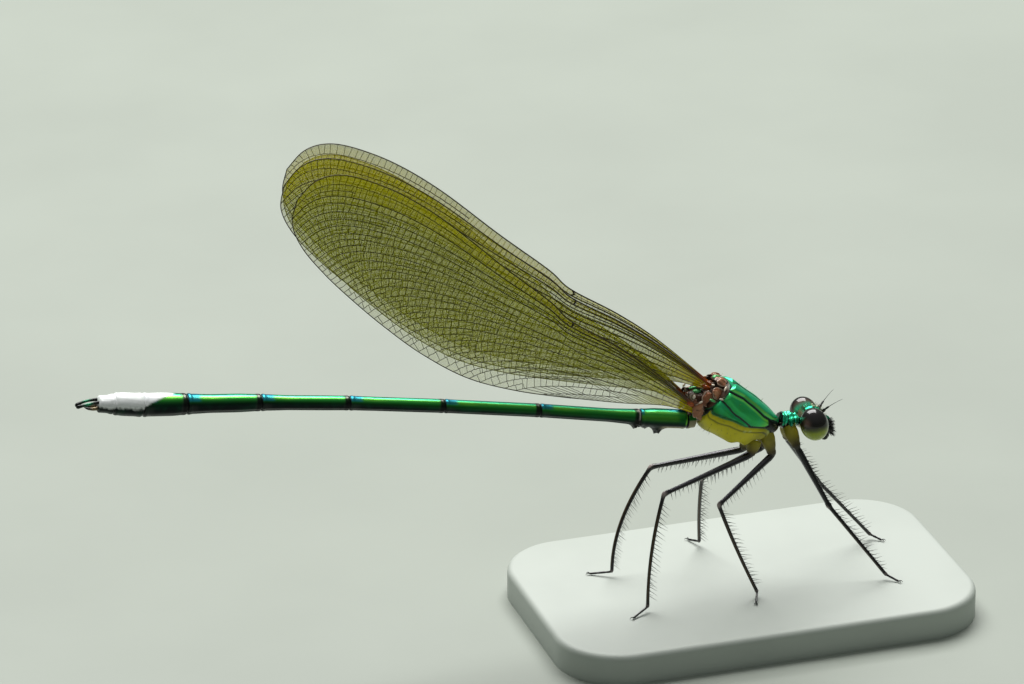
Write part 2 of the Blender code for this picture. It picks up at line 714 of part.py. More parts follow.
def main():
    random.seed(BRISTLE_SEED)
    clear_scene()
    parts = make_collection("damselfly")
    cutters = make_collection("cutters")
    make_base(parts)
    make_abdomen(parts)
    make_tail_ends(parts)
    make_thorax(parts)
    make_head(parts, cutters)
    for name in WING_ELEVATION:
        make_wing(name, parts)
    below_feet = make_foot_cutter(cutters)
    for name in LEG_JOINTS:
        make_leg(name, parts, below_feet)
    hide_cutters(cutters)
    bpy.context.view_layer.update()


main()
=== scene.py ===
"""Skin, wings, bristles, stage and camera of a life-size still model of a damselfly.

Metres, +Z up, the head along +X and the insect's left side along +Y.
Places on the insect are in millimetres from DATUM, which lies on the level of the feet
straight under the joint of thorax and abdomen, as on the solids.
"""

import math
import random

import bmesh
import bpy
import numpy as np
from mathutils import Matrix, Vector


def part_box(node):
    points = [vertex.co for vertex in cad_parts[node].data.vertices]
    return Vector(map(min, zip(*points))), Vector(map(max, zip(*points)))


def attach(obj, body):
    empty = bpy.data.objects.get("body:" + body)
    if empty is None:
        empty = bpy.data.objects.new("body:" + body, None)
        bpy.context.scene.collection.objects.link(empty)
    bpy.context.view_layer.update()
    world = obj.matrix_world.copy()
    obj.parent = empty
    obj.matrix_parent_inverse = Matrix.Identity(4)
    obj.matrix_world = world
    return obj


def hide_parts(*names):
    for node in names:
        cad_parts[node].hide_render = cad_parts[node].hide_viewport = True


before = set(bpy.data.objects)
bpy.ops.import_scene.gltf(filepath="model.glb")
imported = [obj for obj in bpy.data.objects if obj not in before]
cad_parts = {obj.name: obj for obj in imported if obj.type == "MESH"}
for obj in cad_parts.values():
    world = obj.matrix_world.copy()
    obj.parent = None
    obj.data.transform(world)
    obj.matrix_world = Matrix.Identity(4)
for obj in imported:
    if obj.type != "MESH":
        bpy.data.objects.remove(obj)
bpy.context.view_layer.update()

bl_info = {
    "name": "Damselfly Model",
    "version": (1, 0, 0),
    "blender": (4, 5, 0),
    "location": "View3D > Sidebar > Damselfly",
    "description": "Builds a life-size still model of a damselfly on its base plate",
    "category": "Add Mesh",
}

MM = 0.001
BODY = "root"
DATUM = Vector((-4.2, 0.0, 2.7)) * MM
LEFT_AXIS = np.array((0.0, 1.0, 0.0))
UP_AXIS = np.array((0.0, 0.0, 1.0))
SIDES = (("left", 1.0), ("right", -1.0))

# Photograph's frame and the camera that matches it
FRAME_SIZE = (1024, 684)
CAMERA_AZIMUTH = math.radians(-18.0)
CAMERA_ELEVATION = math.radians(24.0)
CAMERA_LENS = 200.0
CAMERA_SENSOR = 36.0
PIXELS_PER_MM = 13.1
AIM_PLACE = Vector((0.0, 0.0, 13.6)) * MM
AIM_PIXEL = (692.0, 419.0)

# One large soft lamp above and behind the model, and pale surroundings
KEY_PLACE = (0.02, 0.28, 0.48)
KEY_AIM = (-0.012, 0.0, 0.018)
KEY_SIZE = (0.52, 0.40)
KEY_POWER = 5.6
KEY_COLOUR = (1.0, 0.99, 0.97)
SURROUND_STRENGTH = 0.32

# Abdomen, as on the solids: joints on the midline and the radius of each segment
ABDOMEN_JOINTS = (
    (0.10, 13.62), (-0.57, 13.68), (-4.32, 14.38), (-12.26, 16.06), (-19.82, 17.50), (-27.24, 18.80),
    (-34.07, 19.81), (-39.75, 20.49), (-43.11, 20.88), (-45.30, 21.28), (-46.50, 21.52),
)
ABDOMEN_RADII = (0.70, 0.74, 0.52, 0.52, 0.53, 0.56, 0.70, 0.86, 0.86, 0.70)
ABDOMEN_RING_STEP = 0.13
ABDOMEN_COLUMNS = 72
CERCUS_LENGTH = 1.5
CERCUS_SPREAD = 0.30

# Thorax, as on the solids: front and rear point of each ring, half its width, how square it is
THORAX_RINGS = (
    (1.78, 17.00, 1.45, 16.70, 0.42, 2.0),
    (2.40, 16.68, 1.85, 16.20, 0.90, 2.2),
    (2.90, 16.52, 0.25, 14.45, 1.62, 3.0),
    (3.42, 16.24, 0.45, 13.20, 1.86, 2.6),
    (4.22, 15.56, 1.05, 12.60, 1.95, 2.2),
    (5.24, 14.68, 2.45, 12.00, 1.92, 2.2),
    (6.20, 13.72, 3.50, 11.65, 1.72, 2.2),
    (6.94, 12.80, 4.05, 11.45, 1.45, 2.2),
    (7.08, 12.15, 4.40, 11.40, 1.12, 2.4),
)
THORAX_ROWS = 190
THORAX_COLUMNS = 248

# Borders of the thorax's plates: ring number against degrees from the front midline
HUMERAL_SUTURE = (
    (1.9, 48), (2.15, 51), (2.95, 46), (3.9, 38), (4.75, 43), (5.65, 50), (6.3, 46), (7.1, 26),
)
INTERPLEURAL_SUTURE = ((1.7, 90), (2.1, 86), (2.5, 83), (3.2, 81), (4.3, 83), (5.0, 89), (5.4, 92))
YELLOW_BORDER = (
    (1.5, 116), (1.95, 110), (2.45, 106), (2.95, 100), (4.2, 94), (4.9, 95), (5.4, 92), (6.0, 85),
    (6.45, 77), (7.0, 76), (8.0, 84),
)
PLATE_FRONT_ENDS = (
    (0, 3.0), (12, 2.55), (24, 2.25), (40, 2.08), (52, 2.15), (62, 2.12), (80, 2.2), (93, 1.85),
    (112, 1.95),
)
SECOND_PLATE_REAR = ((48, 6.0), (57, 6.2), (65, 6.4), (76, 6.25), (84, 5.8), (90, 5.2))
YELLOW_FRONT_ENDS = ((95, 1.9), (112, 2.05), (123, 2.15), (144, 2.2), (168, 2.55), (180, 2.6))
ROOT_AREA_ENDS = (
    (0, 1.90), (38, 1.60), (51, 1.90), (80, 1.95), (93, 1.72), (109, 1.85), (142, 1.8), (168, 2.2),
    (180, 2.3),
)

# Neck and head, as on the solids, but the head and eyes are turned a little further and the
# eyes are a little larger
NECK_REAR = Vector((7.46, 0.0, 12.50))
NECK_FRONT = Vector((8.43, 0.0, 12.32))
HEAD_CENTRE = Vector((9.72, 0.0, 12.25))
HEAD_TURN = math.radians(-7.5)
HEAD_TILT = math.radians(-9.5)
HEAD_HALF = (0.98, 1.98, 1.06)
EYE_HALF = (1.09, 1.05, 1.29)
EYE_OFFSET = (-0.15, 1.76, 0.02)
EYE_LEAN = math.radians(-16.0)
# Width of an eye facet in mm. Real ones are about 0.02 mm across, and this is the finest that shows
EYE_FACET = 0.05

# Wings, as on the solids but narrower near the root: outline in shares of the length
WING_LEADING = (
    (0.0, 0.0), (0.14, 0.032), (0.245, 0.046), (0.358, 0.052), (0.42, 0.069), (0.55, 0.092),
    (0.70, 0.122), (0.81, 0.133), (0.90, 0.128), (0.955, 0.113), (0.988, 0.083), (1.0, 0.038),
)
WING_HIND = (
    (1.0, 0.038), (0.984, -0.006), (0.94, -0.040), (0.87, -0.068), (0.79, -0.091), (0.70, -0.112),
    (0.60, -0.129), (0.49, -0.134), (0.38, -0.116), (0.27, -0.085), (0.17, -0.053), (0.08, -0.022),
    (0.0075, -0.012),
)
WING_SPLIT = 9
WING_EDGE_HOLD = 2.0
WING_SPREAD_OVER = 5.0
FOREWING = {"length": 39.4, "root": (1.42, 16.40), "chord": 1.0, "y_root": 0.42, "y_blade": 0.52}
HINDWING = {"length": 38.2, "root": (0.22, 14.87), "chord": 1.03, "y_root": 1.22, "y_blade": 1.54}
WING_ELEVATION = {
    "forewing_left": 31.0, "forewing_right": 29.7, "hindwing_left": 32.6, "hindwing_right": 31.9,
}

# Long veins are arches from the root to the hind margin
VEIN_ROOT_HEADINGS = ((0.97, 0.24), (0.97, -0.16))
VEIN_MARGIN_SHARES = (0.0, 0.15, 0.45, 0.75, 1.0)
VEIN_MARGIN_HEADINGS = ((0.10, -1.0), (0.42, -0.90), (0.50, -0.86), (0.55, -0.83), (0.97, -0.24))
VEIN_ROOT_PULL = 0.42
VEIN_MARGIN_PULLS = (0.30, 0.25)

# Stems that leave the root: share across the wing, radius in mm, and where along the wing they end
WING_STEMS = (
    (0.0, 0.070, 1.0), (0.022, 0.042, 0.337), (0.048, 0.068, 1.0), (0.085, 0.052, 1.0),
    (0.120, 0.056, 1.0), (0.20, 0.048, 1.0), (0.33, 0.050, 1.0), (0.50, 0.044, 1.0),
    (0.72, 0.044, 1.0), (1.0, 0.042, 1.0),
)
NODUS_ALONG = 0.337
# How opaque the clear sheet is where its tint is deepest
MEMBRANE_COVER = 0.60

# Legs, as on the solids: hip, trochanter, knee, ankle and toe
LEG_JOINTS = {
    "front_right": ((7.95, -0.50, 11.50), (8.20, -1.15, 10.50), (10.53, -2.20, 5.68), (14.60, -4.20, 0.42),
                    (15.35, -5.05, 0.24)),
    "front_left": ((7.95, 0.50, 11.50), (8.20, 1.05, 10.40), (11.21, 2.20, 5.81), (16.00, 2.85, 0.42),
                   (16.75, 2.15, 0.24)),
    "middle_right": ((5.95, -0.75, 11.42), (6.22, -1.00, 10.10), (1.49, -2.20, 7.10), (4.10, -3.90, 0.42),
                     (3.55, -5.20, 0.24)),
    "middle_left": ((5.95, 0.75, 11.44), (6.22, 0.90, 10.00), (1.91, 2.80, 7.07), (2.85, 5.75, 0.42),
                    (2.35, 6.95, 0.24)),
    "hind_right": ((4.75, -0.75, 11.05), (4.45, -0.95, 10.35), (-3.02, -2.30, 8.74), (-4.75, -3.75, 0.42),
                   (-6.20, -4.65, 0.24)),
    "hind_left": ((4.75, 0.75, 11.05), (4.50, 0.80, 10.05), (-1.79, 4.20, 7.93), (-5.40, 2.80, 0.42),
                  (-6.95, 3.60, 0.24)),
}
TIBIA_BOW = {
    "front_right": 0.0, "front_left": 0.0, "middle_right": 0.12, "middle_left": 0.12,
    "hind_right": 0.32, "hind_left": 0.80,
}
# The solids' thick feet stand clear of the plate, and these thin ones lie on it
ANKLE_DROP = 0.30
TOE_DROP = 0.43
FOOT_LEVEL = -0.29
# Joint number and share of the limb, against the limb's radius
LEG_GIRTH = (
    (0.0, 0.52), (0.35, 0.55), (0.62, 0.47), (0.80, 0.36), (0.88, 0.37), (0.98, 0.30), (1.02, 0.245),
    (1.06, 0.27), (1.25, 0.25), (1.60, 0.205), (1.92, 0.175), (1.975, 0.215), (2.0, 0.225),
    (2.02, 0.18), (2.05, 0.155), (2.30, 0.145), (2.80, 0.13), (2.96, 0.135), (3.0, 0.145),
    (3.06, 0.09), (3.22, 0.088), (3.27, 0.07), (3.32, 0.09), (3.58, 0.085), (3.63, 0.068),
    (3.68, 0.085), (3.93, 0.085), (4.0, 0.06),
)
LEG_COLUMNS = 20
LEG_RING_STEP = 0.11

# Fine hairs: their radii in mm, and how many grow on the face, thorax and head
FACE_HAIR_RADIUS = 0.020
BODY_HAIR_RADIUS = 0.014
FACE_HAIRS = 230
THORAX_HAIRS = 260
HEAD_HAIRS = 90


def linear(colour):
    """A hex sRGB colour as linear red, green and blue; a colour that is linear already stays as it is."""
    if not isinstance(colour, str):
        return tuple(colour)
    channels = [int(colour[start:start + 2], 16) / 255 for start in (1, 3, 5)]
    return tuple(c / 12.92 if c <= 0.04045 else ((c + 0.055) / 1.055) ** 2.4 for c in channels)


def length_setting(name, description, millimetres):
    return bpy.props.FloatProperty(
        name=name, description=description, default=millimetres * MM, precision=6, unit="LENGTH")


def colour_setting(name, description, hex_colour):
    return bpy.props.FloatVectorProperty(
        name=name, description=description, default=linear(hex_colour), subtype="COLOR", min=0.0, max=1.0)


class DamselflySizes(bpy.types.PropertyGroup):
    """Sizes that a user may change before building."""

    cell_width: length_setting(
        "Wing Cell Width", "Usual width of a wing cell between two long veins", 0.57)
    crossvein_radius: length_setting(
        "Crossvein Radius", "Radius of the short veins that close the wing cells", 0.020)
    membrane_thickness: length_setting(
        "Membrane Thickness", "Thickness of the clear sheet between the veins", 0.03)
    pleat_height: length_setting(
        "Pleat Height", "How far the stems of a wing stand out of its plane by turns", 0.10)
    bristle_length: length_setting("Bristle Length", "Length of the longest bristles on the legs", 0.95)
    bristle_pitch: length_setting("Bristle Pitch", "Distance from one bristle to the next in a row", 0.36)
    bristle_radius: length_setting("Bristle Radius", "Radius of a bristle at its root", 0.027)
    floor_radius: length_setting("Floor Radius", "Radius of the round floor under the model", 3000.0)


class DamselflyColours(bpy.types.PropertyGroup):
    """Colours that a user may change before building."""

    green: colour_setting("Metallic Green", "Middle colour of the thorax's metallic plates", "#34C268")
    # lime paints highlights along the metallic plates' edges and high on the tail
    lime: colour_setting("Lime", "Edge colour of the metallic plates", "#7FD43F")
    teal: colour_setting("Teal", "Blue shimmer at the rear of each tail segment", "#0E7C93")
    cyan: colour_setting("Cyan", "Top of the head, neck shield and front plates", "#25C78F")
    yellow: colour_setting("Olive Yellow", "Underside of the thorax", "#D2C704")
    black: colour_setting("Black", "Legs, seams and face", "#0B0B0C")
    bloom: colour_setting("White Bloom", "Waxy bloom on the last tail segments", "#F1F2F4")
    amber: colour_setting("Wing Amber", "Tint of the wings' clear sheet", "#D6D60A")
    brown: colour_setting("Root Brown", "Hinge plates at the roots of the wings", "#9A5F40")
    floor: colour_setting("Floor", "Plain pale floor", "#989F96")


def sizes():
    return bpy.context.scene.damselfly_sizes


def colours():
    return bpy.context.scene.damselfly_colours


# Curves, masks and meshes


def on_insect(places):
    """Places in millimetres from the datum, in the part's own frame and in metres."""
    return np.asarray(places, float) * MM + np.array(DATUM)


def smooth_curve(knots, places):
    """Catmull-Rom curve through the knots, read at places counted in knots."""
    knots = np.asarray(knots, float)
    places = np.clip(np.asarray(places, float), 0.0, len(knots) - 1.0)
    index = np.minimum(places.astype(int), len(knots) - 2)
    part = (places - index)[..., None]
    spots = [knots[np.clip(index + step, 0, len(knots) - 1)] for step in (-1, 0, 1, 2)]
    before, start, end, after = spots
    return 0.5 * (
        2 * start + (end - before) * part + (2 * before - 5 * start + 4 * end - after) * part ** 2
        + (3 * start - before - 3 * end + after) * part ** 3
    )


def arc_lengths(points):
    """Distance of each point from the first, along the course."""
    steps = np.linalg.norm(np.diff(points, axis=0), axis=1)
    return np.concatenate(([0.0], np.cumsum(steps)))


def read_table(values, places, table):
    """Rows of a table given at places, read at values by straight runs."""
    return np.stack([np.interp(values, places, column) for column in table.T], axis=-1)


def even_path(points):
    """A reader of the smooth curve through the points, by share of its length."""
    fine = smooth_curve(points, np.linspace(0.0, len(points) - 1.0, 401))
    reach = arc_lengths(fine)

    def place(share):
        return read_table(limited(share) * reach[-1], reach, fine)

    return place


def border(points, values):
    """A border given as pairs, read at values by straight runs."""
    table = np.array(points, float)
    return np.interp(values, table[:, 0], table[:, 1])


def limited(values):
    """Values cut off below 0 and above 1."""
    return np.clip(values, 0.0, 1.0)


def ease(values, low, high):
    """0 below low, 1 above high, smooth between; low may be the larger."""
    share = limited((np.asarray(values, float) - low) / (high - low))
    return share * share * (3.0 - 2.0 * share)


def bump(values, centre, width):
    """A smooth bump of height 1 about centre."""
    return np.exp(-((np.asarray(values, float) - centre) / width) ** 2)


def unit(vectors):
    return vectors / np.linalg.norm(vectors, axis=-1, keepdims=True)


def full_turn(count):
    """Angles round a full turn, in equal steps."""
    return np.linspace(0.0, 2 * math.pi, count, endpoint=False)


def from_first(turns):
    """Degrees from the first column of a ring, either way round."""
    return np.degrees(np.minimum(turns, 2 * math.pi - turns))


def ripple(points, pitch, seed):
    """Soft, repeatable unevenness from about -1 to 1, with a pitch in metres."""
    rng = np.random.default_rng(seed)
    total = np.zeros(points.shape[:-1])
    for _ in range(7):
        wave = unit(rng.normal(size=3)) * rng.uniform(0.7, 1.5) * 2 * math.pi / pitch
        total += np.sin(points @ wave + rng.uniform(0, 2 * math.pi))
    return total / 3.5


def mesh_from(name, points, faces):
    """A smooth mesh whose faces point outwards."""
    points = np.asarray(points, float)
    mesh = bpy.data.meshes.new(name)
    mesh.from_pydata(points.tolist(), [], faces)
    mesh.calc_loop_triangles()
    corners = np.zeros(len(mesh.loop_triangles) * 3, np.int32)
    mesh.loop_triangles.foreach_get("vertices", corners)
    first, second, third = (points[corners.reshape(-1, 3)[:, index]] for index in range(3))
    if np.einsum("ij,ij->i", first, np.cross(second, third)).sum() < 0:
        mesh.flip_normals()
    mesh.shade_smooth()
    return mesh


def ring_faces(rows, columns, offset=0):
    """Quads of a closed tube of rings, with a fan onto a pole at each end."""
    upper = np.arange(rows - 1)[:, None] * columns + np.arange(columns)[None, :] + offset
    following = np.roll(upper, -1, axis=1)
    quads = np.stack([upper, upper + columns, following + columns, following], axis=-1)
    faces = quads.reshape(-1, 4).tolist()
    first_pole = rows * columns + offset
    last_pole = first_pole + 1
    last_ring = (rows - 1) * columns + offset
    for index in range(columns):
        after = (index + 1) % columns
        faces.append([first_pole, offset + index, offset + after])
        faces.append([last_pole, last_ring + after, last_ring + index])
    return faces


def with_poles(values):
    """Values of a grid of rings as one list, the mean of each end ring at its pole."""
    flat = values.reshape(-1, *values.shape[2:])
    ends = np.stack([values[0].mean(axis=0), values[-1].mean(axis=0)])
    return np.concatenate([flat, ends])


def skin_mesh(name, rings, marks):
    """A closed skin over rings of equal count, with marks as values on its points."""
    rows, columns = rings.shape[:2]
    mesh = mesh_from(name, with_poles(rings), ring_faces(rows, columns))
    for mark, values in marks.items():
        add_mark(mesh, mark, with_poles(np.broadcast_to(values, rings.shape[:2])))
    return mesh


def add_mark(mesh, mark, values):
    attribute = mesh.attributes.new(mark, "FLOAT", "POINT")
    attribute.data.foreach_set("value", np.asarray(values, np.float32).ravel())


def swept_rings(course, radii, across, columns):
    """Rings round a course. Column 0 lies square to both the course and the vector across."""
    along = unit(np.gradient(course, axis=0))
    side = unit(np.cross(across, along))
    other = np.cross(along, side)
    turns = full_turn(columns)
    radii = np.asarray(radii, float)
    radii = radii[:, None] if radii.ndim == 1 else radii
    reach = radii[:, :, None] * (
        np.cos(turns)[None, :, None] * side[:, None, :] + np.sin(turns)[None, :, None] * other[:, None, :])
    return course[:, None, :] + reach


def join_meshes(name, parts):
    """One mesh from several lists of (points, faces, marks)."""
    points = []
    faces = []
    marks = {}
    for part_points, part_faces, part_marks in parts:
        start = sum(len(block) for block in points)
        points.append(np.asarray(part_points, float))
        faces.extend([[corner + start for corner in face] for face in part_faces])
        for mark, values in part_marks.items():
            marks.setdefault(mark, []).append(np.broadcast_to(values, len(part_points)))
    mesh = bpy.data.meshes.new(name)
    mesh.from_pydata(np.concatenate(points).tolist(), [], faces)
    mesh.shade_smooth()
    for mark, blocks in marks.items():
        add_mark(mesh, mark, np.concatenate(blocks))
    return mesh


def blob(centre, half, turn, unevenness, seed, rows=26, columns=40):
    """An uneven ellipsoid as (points, faces, height share), turned by a matrix about its centre."""
    polar = np.linspace(0.0, math.pi, rows + 2)[1:-1]
    round_it = full_turn(columns)
    unit_rings = np.stack([
        np.sin(polar)[:, None] * np.cos(round_it)[None, :],
        np.sin(polar)[:, None] * np.sin(round_it)[None, :],
        np.repeat(np.cos(polar)[:, None], columns, axis=1),
    ], axis=-1)
    rough = 1.0 + unevenness * ripple(unit_rings * MM, 1.4 * MM, seed)
    rings = unit_rings * rough[..., None] * np.asarray(half, float)
    rings = rings @ np.array(turn).T + np.asarray(centre, float)
    faces = [face[::-1] for face in ring_faces(rows, columns)]
    return with_poles(rings), faces, with_poles(unit_rings)[:, 2]


def linked_object(name, data):
    thing = bpy.data.objects.new(name, data)
    bpy.context.scene.collection.objects.link(thing)
    return thing


def add_piece(name, mesh, material, slot, *nodes):
    """Links a mesh as a piece of the model, with its finish and the solids that it stands for."""
    piece = linked_object(name, mesh)
    mesh.materials.clear()
    mesh.materials.append(material)
    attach(piece, BODY)
    if nodes:
        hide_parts(*nodes)
    return piece


# Materials

MIX_A, MIX_B, MIX_RESULT = 6, 7, 2


def add_node(tree, kind, inputs=None, **settings):
    """Adds a node; inputs maps a socket's name or number to a value or to an output to link."""
    node = tree.nodes.new(kind)
    for key, value in settings.items():
        setattr(node, key, value)
    for key, value in (inputs or {}).items():
        if isinstance(value, bpy.types.NodeSocket):
            tree.links.new(value, node.inputs[key])
        else:
            node.inputs[key].default_value = value
    return node


def start_material(name, constants=None):
    """A material with an empty tree and its shader, as (material, tree, shader)."""
    material = bpy.data.materials.new(name)
    material.use_nodes = True
    tree = material.node_tree
    tree.nodes.clear()
    shader = add_node(tree, "ShaderNodeBsdfPrincipled", constants)
    add_node(tree, "ShaderNodeOutputMaterial", {"Surface": shader.outputs["BSDF"]})
    return material, tree, shader


def ramp(tree, factor, stops):
    """The colour that a ramp gives at a factor; its stops are (place, colour)."""
    node = add_node(tree, "ShaderNodeValToRGB", {"Fac": factor})
    elements = node.color_ramp.elements
    while len(elements) > 1:
        elements.remove(elements[-1])
    for index, (place, colour) in enumerate(stops):
        element = elements[0] if index == 0 else elements.new(place)
        element.position = place
        element.color = (*linear(colour), 1.0)
    return node.outputs["Color"]


def mark_value(tree, mark):
    return add_node(tree, "ShaderNodeAttribute", attribute_name=mark).outputs["Fac"]


def own_place(tree):
    return add_node(tree, "ShaderNodeTexCoord").outputs["Object"]


def noise(tree, pitch, detail=2.0):
    """Soft clouds over the object, with a pitch in millimetres."""
    inputs = {"Vector": own_place(tree), "Scale": 1.0 / (pitch * MM), "Detail": detail}
    return add_node(tree, "ShaderNodeTexNoise", inputs).outputs["Fac"]


def scaled(tree, value, low, high, start=0.0, end=1.0):
    """Low where a value is at start, high where it is at end."""
    inputs = {"Value": value, "From Min": start, "From Max": end, "To Min": low, "To Max": high}
    return add_node(tree, "ShaderNodeMapRange", inputs).outputs["Result"]


def mix_colour(tree, factor, under, over):
    inputs = {0: factor, MIX_A: under, MIX_B: (*linear(over), 1.0)}
    return add_node(tree, "ShaderNodeMix", inputs, data_type="RGBA").outputs[MIX_RESULT]


def paint_layers(tree, base, layers):
    """Lays colours over a base colour, each where its mark is 1."""
    result = base
    for mark, colour in layers:
        result = mix_colour(tree, mark_value(tree, mark), result, colour)
    return result


def set_relief(tree, shader, pattern, height, strength):
    """Lets a pattern raise the surface by a height in millimetres."""
    inputs = {"Height": pattern, "Distance": height * MM, "Strength": strength}
    surface = add_node(tree, "ShaderNodeBump", inputs)
    tree.links.new(surface.outputs["Normal"], shader.inputs["Normal"])


def cuticle(name, tones, layers, shimmer, metal=0.9, polish=0.24, grain=0.06, relief=0.010, mottle=0.35):
    """Insect cuticle: the mark tone picks the ground colour and shine says where it is metallic.

    grain and relief are the pitch and height in mm of the fine pits that break up the gloss,
    and mottle is how far soft clouds of the shimmer colour cover the ground colour.
    """
    material, tree, shader = start_material(name)
    ground = ramp(tree, mark_value(tree, "tone"), tones)
    cover = scaled(tree, noise(tree, 0.9, 3.0), 0.0, mottle, 0.45, 0.75)
    colour = paint_layers(tree, mix_colour(tree, cover, ground, shimmer), layers)
    tree.links.new(colour, shader.inputs["Base Color"])
    shine = mark_value(tree, "shine")
    tree.links.new(scaled(tree, shine, 0.0, metal), shader.inputs["Metallic"])
    tree.links.new(scaled(tree, shine, 0.55, polish, 0.0, 0.3), shader.inputs["Roughness"])
    set_relief(tree, shader, noise(tree, grain), relief, 0.6)
    return material


def abdomen_cuticle():
    """Metallic cuticle with interference colours and waxy white behind; its tones by angle are painted
    light, a highlight band high up, emerald below it and painted shade to near black underneath.
    """
    c = colours()
    # Painted light: tones by angle from the top, a highlight band from about 0.11 to 0.25 and painted shade
    # below it
    tones = (
        (0.0, "#0B5F55"), (0.06, "#14906A"), (0.11, "#44CB8C"), (0.17, "#78D85A"), (0.25, "#43B84A"),
        (0.34, "#23892F"), (0.44, "#185A20"), (0.53, "#0B341C"), (0.62, "#051B16"), (0.80, "#030B0C"),
    )
    # lime on the tail is mostly a painted highlight band
    layers = (
        # pale is partly a painted glint on top of the black rings
        ("blue", c.teal), ("lime", c.lime), ("tan", "#8C8466"), ("dark", "#090C0C"), ("pale", "#CDBFBC"),
        ("bloom", c.bloom),
    )
    return cuticle("metallic_tail_cuticle", tones, layers, "#0F6F4A", metal=0.8, polish=0.30, mottle=0.15)


def thorax_cuticle():
    """Metallic plates between black seams over a soft olive underside, with painted lime highlights along
    the plates' edges.
    """
    c = colours()
    tones = (
        (0.0, c.cyan), (0.22, "#30D489"), (0.42, c.green), (0.62, "#259C46"), (0.80, "#0C5428"),
        (1.0, "#063018"),
    )
    layers = (
        ("lime", c.lime), ("yellow", c.yellow), ("olive", "#5A5A0A"), ("rust", "#4A2C17"),
        ("dark", c.black), ("pale", "#C9D27A"),
    )
    return cuticle("metallic_thorax_cuticle", tones, layers, "#22B894", metal=0.62, polish=0.30)


def head_cuticle():
    """Metallic top of the head, dull tan at the back and glossy black round the face."""
    c = colours()
    tones = ((0.0, "#37D3AE"), (0.35, c.cyan), (0.70, "#0E6E45"), (1.0, "#06251A"))
    layers = (("tan", "#5D5636"), ("dark", c.black), ("pale", "#C9B79A"))
    return cuticle("metallic_head_cuticle", tones, layers, "#19B7A0", polish=0.25)


def neck_cuticle():
    """Metallic lobes of the neck shield with pale joint skin between them."""
    c = colours()
    tones = ((0.0, "#4FE0B4"), (0.5, c.cyan), (1.0, "#0A5B45"))
    layers = (("yellow", "#C8C24A"), ("dark", c.black), ("pale", "#8F8478"))
    return cuticle("metallic_neck_cuticle", tones, layers, "#36D6C0", metal=0.65, polish=0.26)


def hinge_cuticle():
    """Horn-like hinge plates at the wing roots: brown and folded, with a painted highlight along their
    rims, pale beads for painted glints and painted shade towards the body.
    """
    c = colours()
    tones = ((0.0, "#3A2114"), (0.35, "#6E422C"), (0.65, c.brown), (1.0, "#C08A66"))
    layers = (("rust", "#A34A12"), ("green", "#43B56A"), ("pale", "#DCD2C0"), ("dark", c.black))
    return cuticle("horn_hinge_cuticle", tones, layers, "#3A1E12", metal=0.25, grain=0.17, relief=0.09,
                   mottle=0.7)


def leg_cuticle():
    """Glossy black cuticle with a painted grey highlight along the thighs and painted glints at the knees
    and ankles, brown-yellow at the roots of the legs.
    """
    c = colours()
    tones = (
        (0.0, "#A39A12"), (0.12, "#8A7F16"), (0.20, "#574B16"), (0.24, "#2E2610"), (0.262, c.black),
        (1.0, c.black),
    )
    layers = (("brown", "#4A3A22"), ("grey", "#5F5C68"), ("pale", "#B9A9A6"))
    return cuticle("black_leg_cuticle", tones, layers, "#15151B", metal=0.0, polish=0.20, grain=0.05)


def face_cuticle():
    """Hard, very glossy black cuticle of the face, with green on its upper plate, painted green glints on
    the claspers and tan corners.
    """
    tones = ((0.0, colours().black), (1.0, "#0E120F"))
    layers = (("green", "#1B8C62"), ("tan", "#8F7B55"))
    return cuticle("black_face_cuticle", tones, layers, "#10211A", polish=0.15)


def eye_lens():
    """Facetted eye under a clear, wet-looking surface: black-brown above, olive below.

    The side towards the head has a painted reflection of the green head, and fine facets break up the
    surface.
    """
    material, tree, shader = start_material("facetted_eye", {
        "Roughness": 0.35, "Specular IOR Level": 0.1,
        "Coat Weight": 1.0, "Coat IOR": 1.50, "Coat Roughness": 0.05})
    ground = ramp(tree, mark_value(tree, "tone"), (
        (0.0, "#8C9A00"), (0.34, "#8E9C00"), (0.46, "#4E5800"), (0.54, "#1A1502"), (0.64, "#0A0302"),
        (1.0, "#070201"),
    ))
    colour = paint_layers(tree, ground, (("haze", "#7A5C52"), ("head_reflection", "#2FBF96")))
    tree.links.new(colour, shader.inputs["Base Color"])
    inputs = {"Vector": own_place(tree), "Scale": 1.0 / (EYE_FACET * MM)}
    facets = add_node(tree, "ShaderNodeTexVoronoi", inputs)
    set_relief(tree, shader, facets.outputs["Distance"], 0.003, 0.25)
    return material


def wing_membrane():
    """Thin, dry chitin sheet tinted amber: deepest near the root and the leading edge, palest behind."""
    material, tree, shader = start_material("tinted_chitin_sheet", {
        "Roughness": 0.40, "Specular IOR Level": 0.08})
    tint = mark_value(tree, "tint")
    ground = ramp(tree, tint, (
        (0.0, "#C9CE9A"), (0.16, "#CFD040"), (0.4, colours().amber), (0.80, "#E2D802"), (1.0, "#D8A600")))
    tree.links.new(ground, shader.inputs["Base Color"])
    tree.links.new(scaled(tree, tint, 0.0, MEMBRANE_COVER), shader.inputs["Alpha"])
    return material


def wing_vein_chitin():
    """Dense dark chitin tubes, rusty at the root."""
    material, tree, shader = start_material("dark_vein_chitin", {"Roughness": 0.38})
    ground = ramp(tree, mark_value(tree, "reach"), (
        (0.0, "#BE5A10"), (0.02, "#93430C"), (0.045, "#4E2A08"), (0.09, "#261506"), (0.5, "#201405"),
        (1.0, "#2C1E06"),
    ))
    tree.links.new(ground, shader.inputs["Base Color"])
    return material


def bristle_keratin(name, colour):
    """Stiff hair: nearly black at this size, with a faint sheen along it."""
    material, tree, shader = start_material(name, {"Roughness": 0.45})
    sheen = tuple(channel * 2.2 for channel in linear(colour))
    ground = ramp(tree, noise(tree, 0.7), ((0.3, colour), (0.8, sheen)))
    tree.links.new(ground, shader.inputs["Base Color"])
    return material


